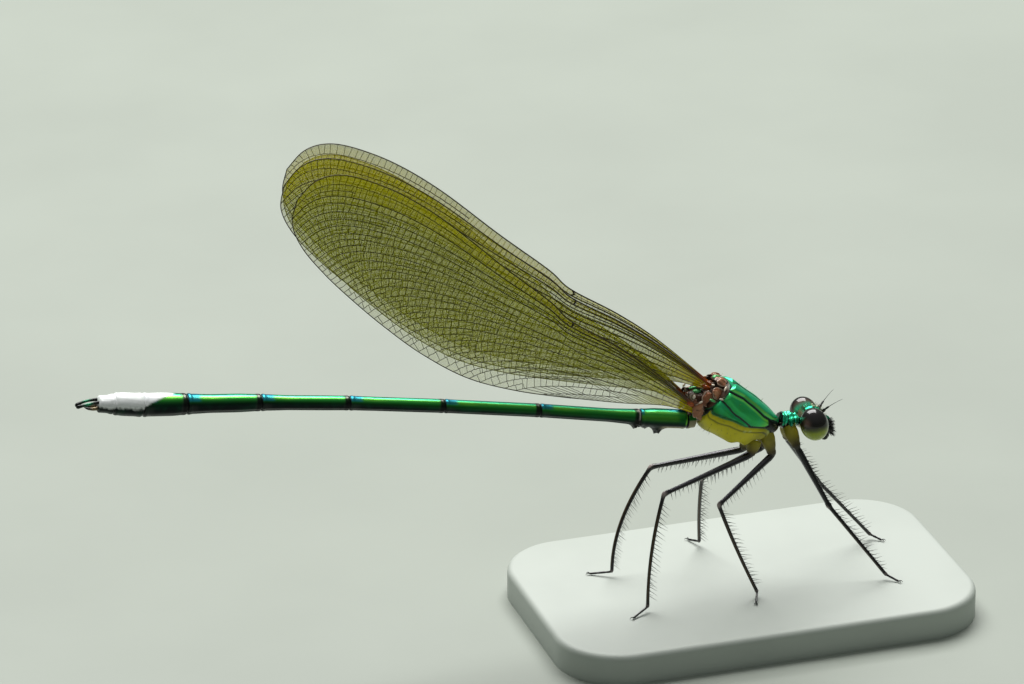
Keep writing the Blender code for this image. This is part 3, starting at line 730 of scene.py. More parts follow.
def satin_paint(name, colour, speckle):
    """Rolled satin paint: even colour with a faint orange-peel that softens its gloss."""
    material, tree, shader = start_material(name, {"Roughness": 0.55})
    shade = tuple(channel * 0.94 for channel in linear(colour))
    ground = ramp(tree, noise(tree, speckle, 4.0), ((0.35, shade), (0.65, colour)))
    tree.links.new(ground, shader.inputs["Base Color"])
    set_relief(tree, shader, noise(tree, 0.35, 1.0), 0.01, 0.3)
    return material


# Geometry Nodes trees


def new_tree(name, sockets):
    """A Geometry Nodes tree with named inputs, as (tree, input node, output node)."""
    tree = bpy.data.node_groups.new(name, "GeometryNodeTree")
    for socket_name, kind in sockets:
        tree.interface.new_socket(socket_name, in_out="INPUT", socket_type=kind)
    tree.interface.new_socket("Geometry", in_out="OUTPUT", socket_type="NodeSocketGeometry")
    return tree, add_node(tree, "NodeGroupInput"), add_node(tree, "NodeGroupOutput")


def named_value(tree, name, kind):
    node = add_node(tree, "GeometryNodeInputNamedAttribute", {"Name": name}, data_type=kind)
    return node.outputs["Attribute"]


def finish_tree(tree, given, result, geometry):
    """Ends a tree: instances become real meshes and take the given material."""
    real = add_node(tree, "GeometryNodeRealizeInstances", {"Geometry": geometry})
    finish = add_node(tree, "GeometryNodeSetMaterial", {
        "Geometry": real.outputs["Geometry"], "Material": given.outputs["Material"]})
    tree.links.new(finish.outputs["Geometry"], result.inputs["Geometry"])
    return tree


def vein_tree():
    """Turns runs of edges into tubes as thick as the mark thickness says."""
    tree, given, result = new_tree("vein_tubes", (
        ("Geometry", "NodeSocketGeometry"), ("Sides", "NodeSocketInt"), ("Material", "NodeSocketMaterial"),
    ))
    runs = add_node(tree, "GeometryNodeMeshToCurve", {"Mesh": given.outputs["Geometry"]})
    profile = add_node(tree, "GeometryNodeCurvePrimitiveCircle", {
        "Resolution": given.outputs["Sides"], "Radius": 1.0})
    tubes = add_node(tree, "GeometryNodeCurveToMesh", {
        "Curve": runs.outputs["Curve"], "Profile Curve": profile.outputs["Curve"],
        "Scale": named_value(tree, "thickness", "FLOAT"), "Fill Caps": True})
    return finish_tree(tree, given, result, tubes.outputs["Mesh"])


def hair_tree():
    """Stands a copy of one hair on each point, along the mark heading, as long as the mark reach says."""
    tree, given, result = new_tree("standing_hair", (
        ("Geometry", "NodeSocketGeometry"), ("Hair", "NodeSocketObject"), ("Width", "NodeSocketFloat"),
        ("Width Spread", "NodeSocketFloat"), ("Seed", "NodeSocketInt"), ("Material", "NodeSocketMaterial"),
    ))
    hair = add_node(tree, "GeometryNodeObjectInfo", {"Object": given.outputs["Hair"]})
    turned = add_node(tree, "FunctionNodeAlignRotationToVector", {
        "Vector": named_value(tree, "heading", "FLOAT_VECTOR")}, axis="Z")
    widths = {0: given.outputs["Width"], 1: given.outputs["Width Spread"]}
    low = add_node(tree, "ShaderNodeMath", widths, operation="SUBTRACT")
    high = add_node(tree, "ShaderNodeMath", widths, operation="ADD")
    limits = {2: low.outputs["Value"], 3: high.outputs["Value"], "Seed": given.outputs["Seed"]}
    width = add_node(tree, "FunctionNodeRandomValue", limits, data_type="FLOAT")
    size = add_node(tree, "ShaderNodeCombineXYZ", {
        "X": width.outputs[1], "Y": width.outputs[1], "Z": named_value(tree, "reach", "FLOAT")})
    placed = add_node(tree, "GeometryNodeInstanceOnPoints", {
        "Points": given.outputs["Geometry"], "Instance": hair.outputs["Geometry"],
        "Rotation": turned.outputs["Rotation"], "Scale": size.outputs["Vector"]})
    return finish_tree(tree, given, result, placed.outputs["Instances"])


def grown_mesh(name, guide, tree, values):
    """The plain mesh that a Geometry Nodes tree makes from a guide mesh; the guide is removed."""
    holder = linked_object(name + "_guide", guide)
    modifier = holder.modifiers.new("Growth", "NODES")
    modifier.node_group = tree
    for item in tree.interface.items_tree:
        if item.in_out == "INPUT" and item.name in values:
            modifier[item.identifier] = values[item.name]
    bpy.context.view_layer.update()
    graph = bpy.context.evaluated_depsgraph_get()
    mesh = bpy.data.meshes.new_from_object(holder.evaluated_get(graph))
    mesh.name = name
    holder.modifiers.clear()
    bpy.data.objects.remove(holder, do_unlink=True)
    mesh.shade_smooth()
    return mesh


# Stage and base plate


def add_softbox():
    """The key lamp, turned towards the middle of the model."""
    light = bpy.data.lights.new("key_softbox", "AREA")
    light.shape = "RECTANGLE"
    light.size, light.size_y = KEY_SIZE
    light.energy = KEY_POWER
    light.color = KEY_COLOUR
    lamp = linked_object("key_softbox", light)
    lamp.location = KEY_PLACE
    lamp.rotation_mode = "QUATERNION"
    lamp.rotation_quaternion = (Vector(KEY_AIM) - Vector(KEY_PLACE)).to_track_quat("-Z", "Y")


def add_world():
    """Soft studio surroundings, brightest overhead and dimmer towards the floor."""
    world = bpy.data.worlds.new("studio_surroundings")
    world.use_nodes = True
    tree = world.node_tree
    tree.nodes.clear()
    place = add_node(tree, "ShaderNodeTexCoord").outputs["Generated"]
    height = add_node(tree, "ShaderNodeSeparateXYZ", {"Vector": place}).outputs["Z"]
    sky = ramp(tree, height, ((0.0, "#9DA89F"), (0.25, "#A9B3AA"), (0.6, "#DDE6E0"), (1.0, "#FFFFFF")))
    glow = add_node(tree, "ShaderNodeBackground", {"Color": sky, "Strength": SURROUND_STRENGTH})
    add_node(tree, "ShaderNodeOutputWorld", {"Surface": glow.outputs["Background"]})
    bpy.context.scene.world = world


def add_camera():
    """Camera at the photograph's viewing angle, placed so that AIM_PLACE falls on AIM_PIXEL."""
    turn, lift = CAMERA_AZIMUTH, CAMERA_ELEVATION
    back = Vector((math.sin(turn) * math.cos(lift), -math.cos(turn) * math.cos(lift), math.sin(lift)))
    right = Vector((math.cos(turn), math.sin(turn), 0.0))
    up = back.cross(right)
    focal_pixels = CAMERA_LENS / CAMERA_SENSOR * FRAME_SIZE[0]
    distance = focal_pixels / PIXELS_PER_MM * MM
    off_right = (AIM_PIXEL[0] - FRAME_SIZE[0] / 2) / focal_pixels * distance
    off_up = -(AIM_PIXEL[1] - FRAME_SIZE[1] / 2) / focal_pixels * distance
    place = DATUM + AIM_PLACE + back * distance - right * off_right - up * off_up
    camera_data = bpy.data.cameras.new("photo_camera")
    camera_data.lens = CAMERA_LENS
    camera_data.sensor_width = CAMERA_SENSOR
    camera_data.clip_start = 0.01
    camera_data.clip_end = 20.0
    camera = linked_object("photo_camera", camera_data)
    rotation = Matrix((right, up, back)).transposed()
    camera.matrix_world = Matrix.Translation(place) @ rotation.to_4x4()
    bpy.context.scene.camera = camera


def add_floor():
    """A large round sheet of pale satin board."""
    columns = 96
    turns = full_turn(columns)
    rim = sizes().floor_radius * np.stack([np.cos(turns), np.sin(turns), np.zeros(columns)], axis=-1)
    points = np.concatenate([rim, [[0.0, 0.0, 0.0]]])
    faces = [[index, (index + 1) % columns, columns] for index in range(columns)]
    mesh = bpy.data.meshes.new("pale_floor")
    mesh.from_pydata(points.tolist(), [], faces)
    mesh.materials.append(satin_paint("satin_floor_board", colours().floor, 25.0))
    linked_object("pale_floor", mesh)


def build_base():
    """The plate of the solids with rounder corners and a finely eased rim."""
    low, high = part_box("stand_base")
    corner = 5.0 * MM
    rim = 0.5 * MM
    height = high.z - low.z
    corner_turns = np.linspace(0.0, math.pi / 2, 17)
    half_x = (high.x - low.x) / 2 - corner
    half_y = (high.y - low.y) / 2 - corner
    centres = (
        (half_x, half_y, 0.0), (-half_x, half_y, 90.0), (-half_x, -half_y, 180.0), (half_x, -half_y, 270.0),
    )
    easing = [(0.0, 0.0)] + [
        (rim * (1 - math.cos(turn)), height - rim + rim * math.sin(turn))
        for turn in np.linspace(0.0, math.pi / 2, 7)
    ]
    rings = []
    for inset, level in easing:
        radius = corner - inset
        ring = []
        for x, y, start in centres:
            turns = corner_turns + math.radians(start)
            spots = (x + radius * np.cos(turns), y + radius * np.sin(turns), np.full_like(turns, level))
            ring.append(np.stack(spots, axis=-1))
        rings.append(np.concatenate(ring))
    mesh = skin_mesh("display_base", np.array(rings), {})
    mesh.set_sharp_from_angle(angle=math.radians(40.0))
    paint = satin_paint("satin_base_board", "#B3BAB3", 9.0)
    add_piece("display_base", mesh, paint, "base_satin", "stand_base")


# Abdomen


def abdomen_course():
    """Arc length of each joint, and a reader of the midline by arc length, in millimetres."""
    joints = np.array([(x, 0.0, z) for x, z in ABDOMEN_JOINTS])
    marks = arc_lengths(joints)

    def midline(reach):
        return read_table(reach, marks, joints)

    return marks, midline


def build_abdomen():
    """One continuous skin over the ten tail segments, with joint rings, lobes and bloom."""
    marks, midline = abdomen_course()
    regular = np.arange(0.0, marks[-1], ABDOMEN_RING_STEP)
    near_joint = [mark + np.linspace(-0.30, 0.30, 25) for mark in marks]
    reach = np.unique(np.concatenate([regular, *near_joint]).round(3))
    reach = reach[(reach >= 0.0) & (reach <= marks[-1])]
    number = np.clip(np.searchsorted(marks, reach, side="right") - 1, 0, len(ABDOMEN_RADII) - 1)
    from_front = reach - marks[number]
    to_rear = marks[number + 1] - reach
    share = from_front / (marks[number + 1] - marks[number])

    knots = [0.0]
    girth = [ABDOMEN_RADII[0] * 0.95]
    for index, radius in enumerate(ABDOMEN_RADII):
        length = marks[index + 1] - marks[index]
        following = ABDOMEN_RADII[min(index + 1, len(ABDOMEN_RADII) - 1)]
        knots += [marks[index] + 0.3 * length, marks[index] + 0.7 * length, marks[index + 1]]
        girth += [radius, radius, (radius + following) / 2]
    even = np.arange(0.0, marks[-1] + 0.05, 0.05)
    smooth_girth = np.interp(even, knots, girth)
    kernel = np.hanning(17)
    padded = np.pad(smooth_girth, 8, mode="edge")
    smooth_girth = np.convolve(padded, kernel / kernel.sum(), mode="valid")
    radius = np.interp(reach, even, smooth_girth)
    closeness = np.minimum(from_front, to_rear)
    is_jointed = (reach > 0.3) & (reach < marks[-1] - 0.2)
    radius *= 1.0 - 0.11 * bump(closeness, 0.0, 0.05) * is_jointed
    radius *= 1.0 + 0.045 * bump(to_rear, 0.20, 0.11) * (reach < marks[-1] - 0.4)
    radius *= 1.0 + 0.030 * bump(from_front, 0.22, 0.16) * (number > 0)
    radius *= np.sqrt(np.clip(1.0 - (1.0 - ease(marks[-1] - reach, 0.0, 0.22)) ** 2 * 0.45, 0.1, 1.0))

    turns = full_turn(ABDOMEN_COLUMNS)
    degrees = from_first(turns)[None, :]
    down = 180.0 - degrees
    shape = radius[:, None] * np.ones_like(degrees)
    in_second = bump(reach, marks[1] + 0.57 * (marks[2] - marks[1]), 0.42)
    after_second = bump(reach, marks[1] + 0.86 * (marks[2] - marks[1]), 0.22)
    at_third = bump(reach, marks[2] + 0.22, 0.34)
    lobes = 0.50 * in_second[:, None] * bump(down, 0.0, 30.0)
    lobes += 0.20 * after_second[:, None] * bump(down, 0.0, 34.0)
    lobes += 0.26 * at_third[:, None] * bump(down, 0.0, 46.0)
    jagged = 1.0 + 0.35 * np.sin(reach * 11.0)[:, None] * np.cos(degrees * 0.21)
    shape += lobes * jagged
    shape -= 0.17 * ease(reach, marks[9] - 0.5, marks[-1])[:, None] * bump(degrees, 0.0, 75.0)
    # The slender segments have a fold of soft skin low on each side
    slender = ease(reach, marks[2] + 0.3, marks[2] + 1.0) * ease(reach, marks[8], marks[7])
    shape -= 0.035 * slender[:, None] * bump(degrees, 128.0, 7.0)
    course = midline(reach)
    rings = swept_rings(course, shape, LEFT_AXIS, ABDOMEN_COLUMNS)
    if rings[10, 0, 2] < rings[10, ABDOMEN_COLUMNS // 2, 2]:
        rings = np.roll(rings, ABDOMEN_COLUMNS // 2, axis=1)

    rough = 0.4 * ripple(on_insect(rings), 0.7 * MM, 3) + 0.6 * ripple(on_insect(rings), 0.22 * MM, 4)
    front_edge = 0.95 + np.clip(degrees, 0, 90) / 66.0 * 2.1
    bloomed = (number == 7)[:, None] * ease(from_front[:, None] - front_edge + 0.16 * rough, -0.14, 0.14)
    low_edge = np.where(number >= 9, 94.0, 87.0)[:, None]
    all_round = ease(degrees + 9.0 * rough, low_edge + 14, low_edge - 12)
    bloomed = np.where((number >= 8)[:, None], all_round, bloomed)
    outwards = unit(rings - course[:, None, :])
    rings = rings + 0.020 * bloomed[..., None] * outwards * (1.0 + 0.6 * rough[..., None])
    bloomed = bloomed * (0.93 + 0.07 * rough)

    top = ease(degrees, 118.0, 96.0)
    first = (number == 0)[:, None]
    second = (number == 1)[:, None]
    long_ones = ((number >= 2) & (number <= 7))[:, None]
    front, rear = from_front[:, None], to_rear[:, None]
    # Moves the painted highlight and shade higher on the rear segments
    rear_shading_stretch = 1.0 + 0.38 * ease(reach, 12.0, 40.0)[:, None]
    marks_on_skin = {
        # tone paints the highlight band and the shade below it, by angle from the top
        "tone": limited(degrees * rear_shading_stretch / 180.0),
        "blue": limited(
            0.95 * long_ones * ease(rear, 1.05, 0.80) * ease(degrees, 62.0, 44.0)
            + 0.8 * second * ease(rear, 0.32, 0.2) * ease(degrees, 60.0, 44.0)
            + 0.75 * second * ease(degrees, 34.0, 12.0) * ease(front, 1.9, 1.2)),
        # lime: painted highlight bands high on the long segments and along the second's side, and a lime
        # ring at the second's front
        "lime": 0.35 * second * bump(degrees, 66.0, 16.0) * ease(front, 0.5, 1.0)
                + 0.8 * second * bump(front, 0.10, 0.07) * top
                + 0.55 * long_ones * bump(degrees * rear_shading_stretch, 44.0, 13.0) * bump(rear, 1.8, 1.0),
        "tan": np.maximum(first * ease(degrees, 74.0, 84.0) * ease(degrees, 160.0, 140.0),
                          second * ease(degrees, 122.0, 132.0) * ease(share[:, None], 0.62, 0.45)),
        # pale: a painted glint on top of each black ring, and a pale ring at the third segment's base
        "pale": 0.26 * long_ones * bump(front, 0.24, 0.08) * bump(degrees, 20.0, 11.0)
                + 0.8 * (number == 2)[:, None] * bump(front, 0.12, 0.07) * ease(degrees, 100.0, 70.0),
        "dark": limited(
            0.95 * bump(np.minimum(front, rear), 0.0, 0.05) * is_jointed[:, None]
            + 0.95 * long_ones * ease(front, 0.55, 0.42)
            + 0.35 * long_ones * ease(rear, 0.9, 0.5) * ease(degrees, 58.0, 85.0)
            + limited(lobes * 5.0)
            + first * ease(rear, 0.14, 0.08)),
        "bloom": bloomed,
    }
    tan, dark, pale = marks_on_skin["tan"], marks_on_skin["dark"], marks_on_skin["pale"]
    matte = limited(tan + bloomed + dark + pale)
    glossy_black = 0.92 * dark * (1.0 - bloomed) * (1.0 - pale)
    marks_on_skin["shine"] = np.maximum((1.0 - matte) * ease(degrees, 150.0, 100.0), glossy_black)
    mesh = skin_mesh("tail_skin", on_insect(rings), marks_on_skin)
    nodes = ["segment_%02d" % (index + 1) for index in range(len(ABDOMEN_RADII))]
    add_piece("tail_skin", mesh, abdomen_cuticle(), "metallic_green", *nodes)


def build_tail_ends():
    """Forceps-like claspers with flattened, hooked tips, and a shorter pair below them."""
    tail_x, tail_z = ABDOMEN_JOINTS[-1]
    material = face_cuticle()
    for side, sign in SIDES:
        spots = np.array([
            (tail_x + 0.30, sign * CERCUS_SPREAD, tail_z + 0.14),
            (tail_x - 0.15, sign * CERCUS_SPREAD, tail_z + 0.16),
            (tail_x - 0.62, sign * (CERCUS_SPREAD + 0.03), tail_z + 0.13),
            (tail_x - 1.12, sign * (CERCUS_SPREAD - 0.01), tail_z + 0.06),
            (tail_x - CERCUS_LENGTH, sign * (CERCUS_SPREAD - 0.12), tail_z - 0.04),
            (tail_x - CERCUS_LENGTH + 0.10, sign * (CERCUS_SPREAD - 0.22), tail_z - 0.16),
        ])
        places = np.linspace(0.0, 5.0, 60)
        course = smooth_curve(spots, places)
        radii = np.interp(places, (0.0, 0.6, 2.0, 3.0, 3.8, 4.4, 5.0),
                          (0.16, 0.13, 0.10, 0.11, 0.15, 0.10, 0.03))
        rings = swept_rings(course, radii, UP_AXIS, 24)
        # Painted green glint along the middle of each clasper
        painted_glint = 0.75 * bump(places, 2.2, 0.5)[:, None]
        mesh = skin_mesh("clasper_" + side, on_insect(rings), {
            "tone": 0.3, "shine": 0.4, "green": painted_glint, "tan": 0.0})
        add_piece("clasper_" + side, mesh, material, "black_gloss", "cercus_" + side)
    parts = []
    for sign in (1.0, -1.0):
        spots = np.array([
            (tail_x + 0.25, sign * 0.18, tail_z - 0.30), (tail_x - 0.30, sign * 0.24, tail_z - 0.33),
            (tail_x - 0.75, sign * 0.20, tail_z - 0.26), (tail_x - 1.00, sign * 0.10, tail_z - 0.14),
        ])
        places = np.linspace(0.0, 3.0, 36)
        course = smooth_curve(spots, places)
        radii = np.interp(places, (0.0, 1.0, 2.0, 3.0), (0.17, 0.13, 0.09, 0.03))
        rings = swept_rings(course, radii, UP_AXIS, 20)
        pale = 0.8 * bump(places, 1.0, 0.5)[:, None] * np.ones(20)
        faces = ring_faces(36, 20)
        marks = {"tone": 0.3, "shine": 0.3, "green": 0.0, "tan": with_poles(pale)}
        parts.append((with_poles(on_insect(rings)), faces, marks))
    mesh = outward(join_meshes("lower_claspers", parts))
    add_piece("lower_claspers", mesh, material, "black_gloss", "paraproct")


def outward(mesh):
    """Turns a mesh of closed bodies so that its faces point outwards."""
    shape = bmesh.new()
    shape.from_mesh(mesh)
    bmesh.ops.recalc_face_normals(shape, faces=shape.faces)
    shape.to_mesh(mesh)
    shape.free()
    return mesh


# Thorax


def thorax_grid(rows, columns):
    """Ring numbers, degrees from the front midline, and places in millimetres, as three grids."""
    number = np.linspace(0.0, len(THORAX_RINGS) - 1.0, rows)
    turns = full_turn(columns)
    front_x, front_z, rear_x, rear_z, half_width, squareness = smooth_curve(THORAX_RINGS, number).T
    cosine, sine = np.cos(turns)[None, :], np.sin(turns)[None, :]
    power = 2.0 / squareness[:, None]
    forward = np.sign(cosine) * np.abs(cosine) ** power
    out = np.sign(sine) * np.abs(sine) ** power
    middle_x, middle_z = (front_x + rear_x) / 2, (front_z + rear_z) / 2
    reach_x, reach_z = (front_x - rear_x) / 2, (front_z - rear_z) / 2
    places = np.stack([
        middle_x[:, None] + reach_x[:, None] * forward,
        half_width[:, None] * out,
        middle_z[:, None] + reach_z[:, None] * forward,
    ], axis=-1)
    degrees = from_first(turns)
    return number[:, None] * np.ones(columns), degrees[None, :] * np.ones((rows, 1)), places


def thorax_plates(number, degrees, places):
    """Depth in mm inside each plate of the thorax, below zero outside it."""
    per_ring = np.linalg.norm(np.gradient(places, number[:, 0], axis=0), axis=-1)
    turn_step = 360.0 / degrees.shape[1]
    round_it = np.roll(places, -1, axis=1) - np.roll(places, 1, axis=1)
    per_degree = np.linalg.norm(round_it, axis=-1) / (2 * turn_step)
    humeral = border(HUMERAL_SUTURE, number)
    interpleural = border(INTERPLEURAL_SUTURE, number)
    yellow_edge = border(YELLOW_BORDER, number)
    front_end = border(PLATE_FRONT_ENDS, degrees)
    first = np.minimum.reduce([
        (degrees - 2.5) * per_degree, (humeral - degrees) * per_degree - 0.12,
        (number - front_end) * per_ring, (7.3 - number) * per_ring,
    ])
    second = np.minimum.reduce([
        (degrees - humeral) * per_degree - 0.12, (interpleural - degrees) * per_degree - 0.09,
        (number - front_end) * per_ring, (border(SECOND_PLATE_REAR, degrees) - number) * per_ring,
    ])
    third = np.minimum.reduce([
        (degrees - interpleural) * per_degree - 0.09, (yellow_edge - degrees) * per_degree - 0.02,
        (number - front_end) * per_ring, (5.15 - number) * per_ring,
    ])
    yellow = np.minimum.reduce([
        (degrees - yellow_edge) * per_degree - 0.05,
        (number - border(YELLOW_FRONT_ENDS, degrees)) * per_ring,
    ])
    root = (border(ROOT_AREA_ENDS, degrees) - number) * per_ring
    return first, second, third, yellow, root


def build_thorax():
    """One skin with domed plates, sunk black seams and a keel along the front midline."""
    number, degrees, places = thorax_grid(THORAX_ROWS, THORAX_COLUMNS)
    first, second, third, yellow, root = thorax_plates(number, degrees, places)
    green = np.maximum.reduce([first, second, third])
    dome = ease(green, -0.02, 0.34) * 0.15 + ease(yellow, -0.03, 0.40) * 0.10
    crease = 0.05 * bump(np.maximum(green, yellow), -0.03, 0.07)
    keel = 0.12 * bump(degrees, 0.0, 2.2) * ease(number, 2.9, 3.3) * ease(number, 7.4, 7.0)
    fold = 0.04 * bump((degrees - border(YELLOW_BORDER, number) - 13.0), 0.0, 2.0) * ease(yellow, 0.0, 0.2)
    centres = places.mean(axis=1, keepdims=True)
    along = np.gradient(places, axis=0)
    round_it = np.roll(places, -1, axis=1) - np.roll(places, 1, axis=1)
    normal = np.cross(round_it, along)
    normal = unit(normal + 1e-9)
    outwards = np.sign(np.einsum("ijk,ijk->ij", normal, places - centres))
    normal *= np.where(outwards == 0, 1.0, outwards)[..., None]
    uneven = 0.010 * ripple(on_insect(places), 0.9 * MM, 5)
    hips = 0.42 * bump(number, 6.25, 0.55) * bump(degrees, 142.0, 20.0)
    hips += 0.40 * bump(number, 5.1, 0.60) * bump(degrees, 146.0, 22.0)
    places = places + normal * (dome - crease + keel - fold + uneven + hips - 0.10)[..., None]

    softly = 0.045
    is_first = ease(first, -softly, softly)
    is_second = ease(second, -softly, softly)
    is_third = ease(third, -softly, softly)
    is_yellow = ease(yellow, -softly, softly)
    is_root = ease(root, -0.10, 0.02)
    humeral = border(HUMERAL_SUTURE, number)
    interpleural = border(INTERPLEURAL_SUTURE, number)
    across_first = limited(degrees / humeral)
    across_second = limited((degrees - humeral) / (interpleural - humeral))
    third_width = np.maximum(border(YELLOW_BORDER, number) - interpleural, 4.0)
    across_third = limited((degrees - interpleural) / third_width)
    tone = 0.02 + 0.20 * across_first * is_first
    tone += is_second * (0.34 + 0.22 * across_second - 0.02)
    tone += is_third * (0.12 + 0.85 * across_third)
    # lime is a painted highlight along the plates' edges and across the second plate near ring 6
    lime = 0.85 * is_first * bump(first, 0.14, 0.13) * ease(across_first, 0.66, 0.86)
    lime_second = bump(second, 0.16, 0.15) * ease(across_second, 0.42, 0.2) * ease(number, 2.3, 3.0)
    lime += 0.75 * is_second * lime_second
    lime += 0.55 * is_second * bump(number, 6.1, 0.35)
    notum = ease(number, 1.95, 2.1) * ease(number, 2.95, 2.8) * ease(degrees, 24.0, 18.0)
    green_area = limited(is_first + is_second + is_third + notum)
    spot = bump(number, 7.0, 0.30) * bump(degrees, 79.0, 8.0)
    spiracle = bump(number, 5.2, 0.09) * bump(degrees, 106.0, 3.5)
    spiracle += bump(number, 5.5, 0.09) * bump(degrees, 101.0, 3.5)
    dark = limited(1.0 - green_area - is_yellow - is_root)
    marks = {
        "tone": tone, "lime": limited(lime), "yellow": limited(is_yellow),
        "olive": is_yellow * limited(0.8 * bump(degrees - border(YELLOW_BORDER, number), 13.0, 2.2)
                                     + 0.55 * ease(degrees, 128.0, 165.0)
                                     + 0.5 * ease(number, 5.6, 6.8)),
        "rust": limited(is_root - notum), "dark": dark,
        "pale": limited(0.9 * spot * is_yellow + 0.8 * limited(spiracle)),
        "shine": limited(green_area + 0.25 * dark),
    }
    mesh = skin_mesh("thorax_skin", on_insect(places), marks)
    add_piece("thorax_skin", mesh, thorax_cuticle(), "metallic_green", "thorax")


def turn_towards(heading, spin=0.0):
    """A rotation whose Z axis follows heading, spun about it by degrees."""
    quaternion = Vector(heading).to_track_quat("Z", "Y")
    return quaternion.to_matrix() @ Matrix.Rotation(math.radians(spin), 3, "Z")


# Hinge plates at the wing roots, right side: place, half sizes, heading, spin, tone, layer
HINGE_PLATES = (
    ((1.62, 1.18, 16.02), (0.50, 0.40, 0.22), (0.35, 1.0, 0.35), 20, 0.75, None),
    ((1.42, 1.30, 16.16), (0.26, 0.20, 0.14), (0.35, 1.0, 0.5), -20, 0.95, None),
    ((2.08, 0.72, 16.66), (0.42, 0.30, 0.24), (0.30, 0.7, 0.9), 10, 0.85, None),
    ((2.02, 0.36, 16.80), (0.30, 0.26, 0.18), (0.10, 0.3, 1.0), 0, 0.70, None),
    ((0.78, 1.22, 15.86), (0.36, 0.44, 0.20), (-0.10, 1.0, 0.5), 15, 0.62, None),
    ((0.42, 1.32, 15.40), (0.30, 0.22, 0.18), (-0.10, 1.0, 0.2), 30, 0.45, None),
    ((0.02, 1.40, 14.98), (0.36, 0.52, 0.16), (-0.15, 1.0, 0.05), 12, 0.80, None),
    ((0.06, 1.44, 14.52), (0.20, 0.42, 0.13), (-0.10, 1.0, -0.1), -6, 0.92, None),
    ((-0.28, 1.26, 15.60), (0.24, 0.18, 0.15), (-0.3, 1.0, 0.5), 0, 0.40, None),
    # The pale beads are painted glints
    ((2.24, 1.20, 16.34), (0.24, 0.08, 0.08), (0.5, 1.0, 0.5), -35, 1.0, "pale"),
    ((1.36, 0.86, 16.62), (0.13, 0.08, 0.08), (0.0, 1.0, 0.8), 20, 1.0, "pale"),
    ((-0.28, 1.16, 15.98), (0.12, 0.17, 0.08), (-0.3, 1.0, 0.7), 15, 1.0, "pale"),
    ((0.16, 1.48, 15.62), (0.17, 0.08, 0.08), (0.0, 1.0, 0.5), -20, 1.0, "pale"),
    ((1.80, 1.60, 15.68), (0.22, 0.07, 0.07), (0.3, 1.0, 0.0), 25, 1.0, "pale"),
    ((1.08, 1.56, 15.66), (0.26, 0.09, 0.09), (0.0, 1.0, 0.2), 30, 1.0, "green"),
    ((0.92, 0.56, 16.36), (0.34, 0.20, 0.20), (0.1, 1.0, 0.3), 28, 0.5, "rust"),
    ((-0.62, 1.30, 15.52), (0.34, 0.17, 0.17), (0.1, 1.0, 0.2), 30, 0.5, "rust"),
    ((0.20, 0.34, 16.06), (0.36, 0.20, 0.13), (0.0, 0.4, 1.0), 0, 1.0, "green"),
    ((1.00, 0.30, 16.30), (0.50, 0.26, 0.30), (0.0, 0.3, 1.0), 0, 0.25, None),
    ((0.30, 0.72, 15.60), (0.70, 0.44, 0.46), (0.0, 1.0, 0.5), 30, 0.15, None),
)
MIDDLE_PLATES = (
    ((1.88, 0.0, 16.86), (0.30, 0.20, 0.17), (0.0, 0.0, 1.0), 0, 1.0, "green"),
    ((1.10, 0.0, 16.46), (0.60, 0.34, 0.26), (0.0, 0.0, 1.0), 0, 0.3, None),
    ((-0.10, 0.0, 15.74), (0.55, 0.40, 0.34), (-0.3, 0.0, 1.0), 0, 0.25, None),
    ((-0.42, 0.0, 15.20), (0.42, 0.62, 0.44), (-0.6, 0.0, 1.0), 0, 0.2, None),
    ((-0.30, 0.0, 14.50), (0.36, 0.72, 0.52), (-1.0, 0.0, 0.3), 0, 0.2, None),
)
HINGE_LAYERS = ("rust", "green", "pale", "dark")


def build_wing_roots():
    """Folded hinge plates, ridges and beads round the roots of the wings."""
    parts = []
    listed = [(plate, sign) for plate in HINGE_PLATES for sign in (1.0, -1.0)]
    listed += [(plate, 1.0) for plate in MIDDLE_PLATES]
    for index, ((place, half, heading, spin, tone, layer), sign) in enumerate(listed):
        centre = (place[0], sign * place[1], place[2])
        turn = turn_towards((heading[0], sign * heading[1], heading[2]), sign * spin)
        uneven = 0.34 if layer is None else 0.10
        if layer is None:
            half = (half[0] * 1.12, half[1] * 1.12, half[2] * 0.62)
        points, faces, height = blob(centre, half, turn, uneven, 40 + index // 2)
        marks = {name: 0.9 * (name == layer) for name in HINGE_LAYERS}
        # Painted light: each plate's tone grows lighter towards its outer face
        marks["tone"] = limited(tone * (0.55 + 0.45 * height))
        marks["shine"] = 0.7 if layer == "green" else 0.32
        # Painted highlight as a pale band round each plate, and painted shade over its side towards the
        # body
        if layer is None:
            marks["pale"] = 0.60 * bump(height, 0.30, 0.09)
            marks["dark"] = 0.85 * ease(height, 0.16, -0.1)
        parts.append((on_insect(points), faces, marks))
    mesh = outward(join_meshes("wing_root_plates", parts))
    add_piece("wing_root_plates", mesh, hinge_cuticle(), "root_brown")


# Prothorax and head


